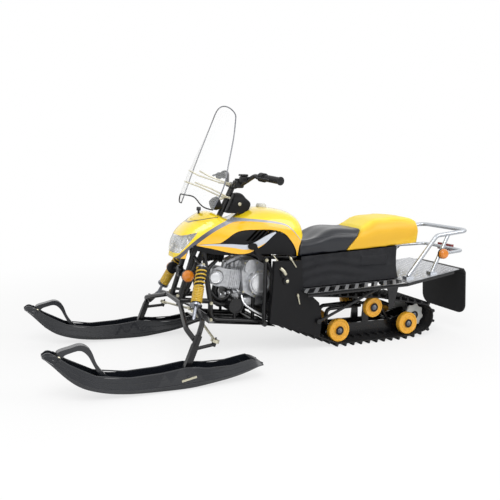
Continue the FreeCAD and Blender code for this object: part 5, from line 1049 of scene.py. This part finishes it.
# Starter and filter: their two ends, radii along, sides
DRUMS = (
    (((0.247, -0.075, 0.322), (0.247, 0.020, 0.322)), (0.026, 0.029, 0.029, 0.029, 0.029, 0.025), 28),
    (((0.178, -0.060, 0.278), (0.178, 0.045, 0.278)), (0.018, 0.021, 0.021, 0.021, 0.021, 0.018), 24),
)
# Sump and starter foot: middle, size; clips along the cylinder: first place, step, size, count
SUMPS = (((0.125, 0.000, 0.272), (0.145, 0.115, 0.060)), ((0.228, 0.030, 0.312), (0.050, 0.050, 0.046)))
CLIP_PLACE, CLIP_STEP, CLIP_SIZE, CLIPS = (0.222, 0.060, 0.334), (0.024, 0, -0.003), (0.012, 0.030, 0.020), 5
# Bright round covers: place, radius, height
DOMES = (
    ((0.112, 0.1075, 0.378), 0.052, 0.007), ((0.351, 0.0775, 0.414), 0.0285, 0.006),
    ((0.351, -0.0775, 0.414), 0.0285, 0.006), ((0.112, -0.1275, 0.378), 0.052, 0.005),
)


def pipe(points, samples, radius, sides):
    """Tube along a smooth curve through the points."""
    return tube(smooth_path(points, samples), radius, sides)


def engine_trim():
    """Dark pipes, duct, starter and filter; grey sump and clips; bright lever and round covers."""
    ribs = DUCT_RADIUS + DUCT_RIB * np.sin(np.linspace(0, DUCT_RIBS * 2 * np.pi, DUCT_SAMPLES))
    dark = [pipe(*COOLING_PIPE), pipe(*BREATHER_PIPE), pipe(DUCT, DUCT_SAMPLES, ribs, 24)]
    dark += [tube(np.linspace(*ends, len(radii)), radii, sides, UP) for ends, radii, sides in DRUMS]
    dark.append(pipe(*INTAKE_LOOP))
    clips = [np.add(CLIP_PLACE, np.multiply(CLIP_STEP, k)) for k in range(CLIPS)]
    grey = [rounded_box(*row) for row in SUMPS]
    grey += [rounded_box(place, CLIP_SIZE, 3.0, 20, 12) for place in clips]
    bright = [pipe(*LEVER), turned_shape(LEVER_PEDAL, LEVER[0][-1], segments=20)]
    bright += [domed_disc(*row) for row in DOMES]
    return joined(dark), joined(grey), joined(bright)


# Left of the bar's clamp: switch housing, fluid reservoir, its lid, the housing's key; middle, size, power
BAR_BOXES = (
    ((0.238, 0.078, 0.884), (0.050, 0.044, 0.040), 5.0), ((0.226, 0.122, 0.908), (0.044, 0.040, 0.034), 5.0),
    ((0.231, 0.122, 0.930), (0.040, 0.042, 0.010), 6.0), ((0.236, 0.078, 0.907), (0.036, 0.030, 0.010), 6.0),
)
# Lamps: bases behind the amber domes; reflectors and bulb hoods behind the headlight's lens
LAMP_SPOTS = ((0.514, 0.118, 0.440), (-0.991, 0.2065, 0.505))
LAMP_RING = ((0.0265, -0.004), (0.0302, -0.002), (0.0302, 0.006), (0.0285, 0.008))
HEADLIGHT_SPOTS, HEADLIGHT_AXIS = ((0.480, 0.052, 0.588), (0.480, -0.052, 0.588)), (0.93, 0.0, 0.18)
REFLECTOR = ((0.038, 0.030), (0.036, 0.022), (0.029, 0.010), (0.017, 0.003), (0.004, 0.0), (0.004, -0.004),
             (0.030, 0.004), (0.040, 0.022), (0.040, 0.030))
BULB_HOOD = ((0.009, 0.004), (0.009, 0.022), (0.006, 0.027), (0.001, 0.029))
LOCK_PLACE = (0.213, 0.0445, 0.781)
LOCK = ((0.0085, -0.002), (0.0085, 0.002), (0.0066, 0.0030), (0.0052, 0.0018))


def lamp_reflectors():
    """Two chrome bowls behind the headlight's lens, each with a domed bulb hood."""
    bowls = []
    for place in HEADLIGHT_SPOTS:
        bowls.append(turned_shape(REFLECTOR, place, HEADLIGHT_AXIS, 40))
        bowls.append(turned_shape(BULB_HOOD, place, HEADLIGHT_AXIS, 20))
    return joined(bowls)


# Speedometer's dial: middle, axis and the face's distance; ticks from the first angle by a step, in degrees
DIAL_MIDDLE, DIAL_AXIS, DIAL_OUT = np.array((0.363, 0.030, 0.775)), unit(np.array((-1.0, 0.0, 0.35))), 0.0418
DIAL_FACE = ((0.0283, -0.0005), (0.0283, 0.0004))
TICKS, TICK_START, TICK_STEP, TICK_ENDS, TICK_RADII = 13, 225, 22.5, (0.0215, 0.0262), (0.0010, 0.0006)
TICK_OUT, NEEDLE_OUT, NEEDLE_ANGLE, NEEDLE_REACH, NEEDLE_RADIUS = 0.0008, 0.001, 200, 0.02, 0.0009


def dial_marks():
    """Dial face, and its ticks and needle, just above the speedometer's face."""
    middle = DIAL_MIDDLE + DIAL_AXIS * DIAL_OUT
    side = unit(np.cross(DIAL_AXIS, UP))
    lift = np.cross(side, DIAL_AXIS)

    def mark(degrees, out, ends, radius):
        ray = rings(side, lift, np.radians(degrees))
        start, end = (middle + DIAL_AXIS * out + ray * reach for reach in ends)
        return tube(np.linspace(start, end, 3), radius, 6, DIAL_AXIS)
    ticks = [mark(TICK_START - k * TICK_STEP, TICK_OUT, TICK_ENDS, TICK_RADII[k % 2]) for k in range(TICKS)]
    ticks.append(mark(NEEDLE_ANGLE, NEEDLE_OUT, (0, NEEDLE_REACH), NEEDLE_RADIUS))
    return turned_shape(DIAL_FACE, middle, DIAL_AXIS, 40), joined(ticks)


place_camera()
light_world()
for lamp_row in LAMPS:
    area_light(*lamp_row)
make_floor()
for node_name in SLOTS:
    if node_name not in REMADE:
        dress(node_name)
make_windshield()
cushion = padded_cover("seat_cushion", "seat_cushion_cover", "seat_cover")
hump = padded_cover("seat_hump", "seat_hump_cover", "hump_yellow")
seam_on(cushion, "cushion_welts", -0.112, -0.400, 0.735, "seat_cover")
seam_on(hump, "hump_welts", -0.560, -0.868, 0.820, "hump_yellow")
make_skirt()
hubs, nuts = hub_pieces()
dark_trim, grey_trim, bright_trim = engine_trim()
dial, marks = dial_marks()
lamp_rings = [turned_shape(LAMP_RING, spot, segments=36) for spot in LAMP_SPOTS]
# Pieces: name, shape, finish, slot, and where it isn't the machine itself the body, then the nodes replaced
PIECES = (
    ("spring_coils", both_sides(spring_coils()), "spring_yellow", "spring_yellow",
     MACHINE, ("shock_springs",)),
    ("damper_sleeves", both_sides(turned_shape(SLEEVE, SHOCK_TOP, SHOCK_AXIS, 28)),
     "dark_trim", "black_steel"),
    ("wheel_hubs", hubs, "dark_trim", "black_steel"),
    ("wheel_nuts", nuts, "hub_grey", "zinc_steel"),
    ("wheel_studs", wheel_studs(), "wheel_yellow", "wheel_yellow"),
    ("platform_tread", tread_marks(), "bright_sheet", "bright_sheet"),
    ("ski_bolts_left", ski_trim(1), "zinc_steel", "zinc_steel", "left_ski_body"),
    ("ski_bolts_right", ski_trim(-1), "zinc_steel", "zinc_steel", "right_ski_body"),
    ("ski_beads_left", ski_beads(1), "ski_plastic", "ski_plastic", "left_ski_body"),
    ("ski_beads_right", ski_beads(-1), "ski_plastic", "ski_plastic", "right_ski_body"),
    ("engine_pipes", dark_trim, "dark_trim", "black_steel"),
    ("engine_sump", grey_trim, "engine_alloy", "engine_alloy"),
    ("engine_covers", bright_trim, "cover_alloy", "engine_alloy"),
    ("panel_bosses", both_sides(turned_shape(BOSS, BOSS_PLACE)), "dark_trim", "black_plastic"),
    ("panel_boss_caps", both_sides(turned_shape(BOSS_CAP, BOSS_PLACE, segments=24)),
     "zinc_steel", "zinc_steel"),
    ("bar_fittings", joined([rounded_box(*row) for row in BAR_BOXES]),
     "dark_trim", "black_plastic", STEERING),
    ("panel_pins", panel_pins(), "zinc_steel", "zinc_steel"),
    ("cover_bolts", cover_bolts(), "zinc_steel", "zinc_steel"),
    ("frame_bolts", frame_bolts(), "zinc_steel", "zinc_steel"),
    ("lamp_bases", both_sides(*lamp_rings), "dark_trim", "black_plastic"),
    ("lamp_reflectors", lamp_reflectors(), "mirror_chrome", "zinc_steel"),
    ("ignition_lock", turned_shape(LOCK, LOCK_PLACE, segments=24), "zinc_steel", "zinc_steel"),
    ("dial_face", dial, "dial_white", "black_plastic", STEERING),
    ("dial_marks", marks, "dark_trim", "black_plastic", STEERING),
)
for piece_row in PIECES:
    make_piece(*piece_row)

scene = bpy.context.scene
scene.view_settings.view_transform = "Standard"
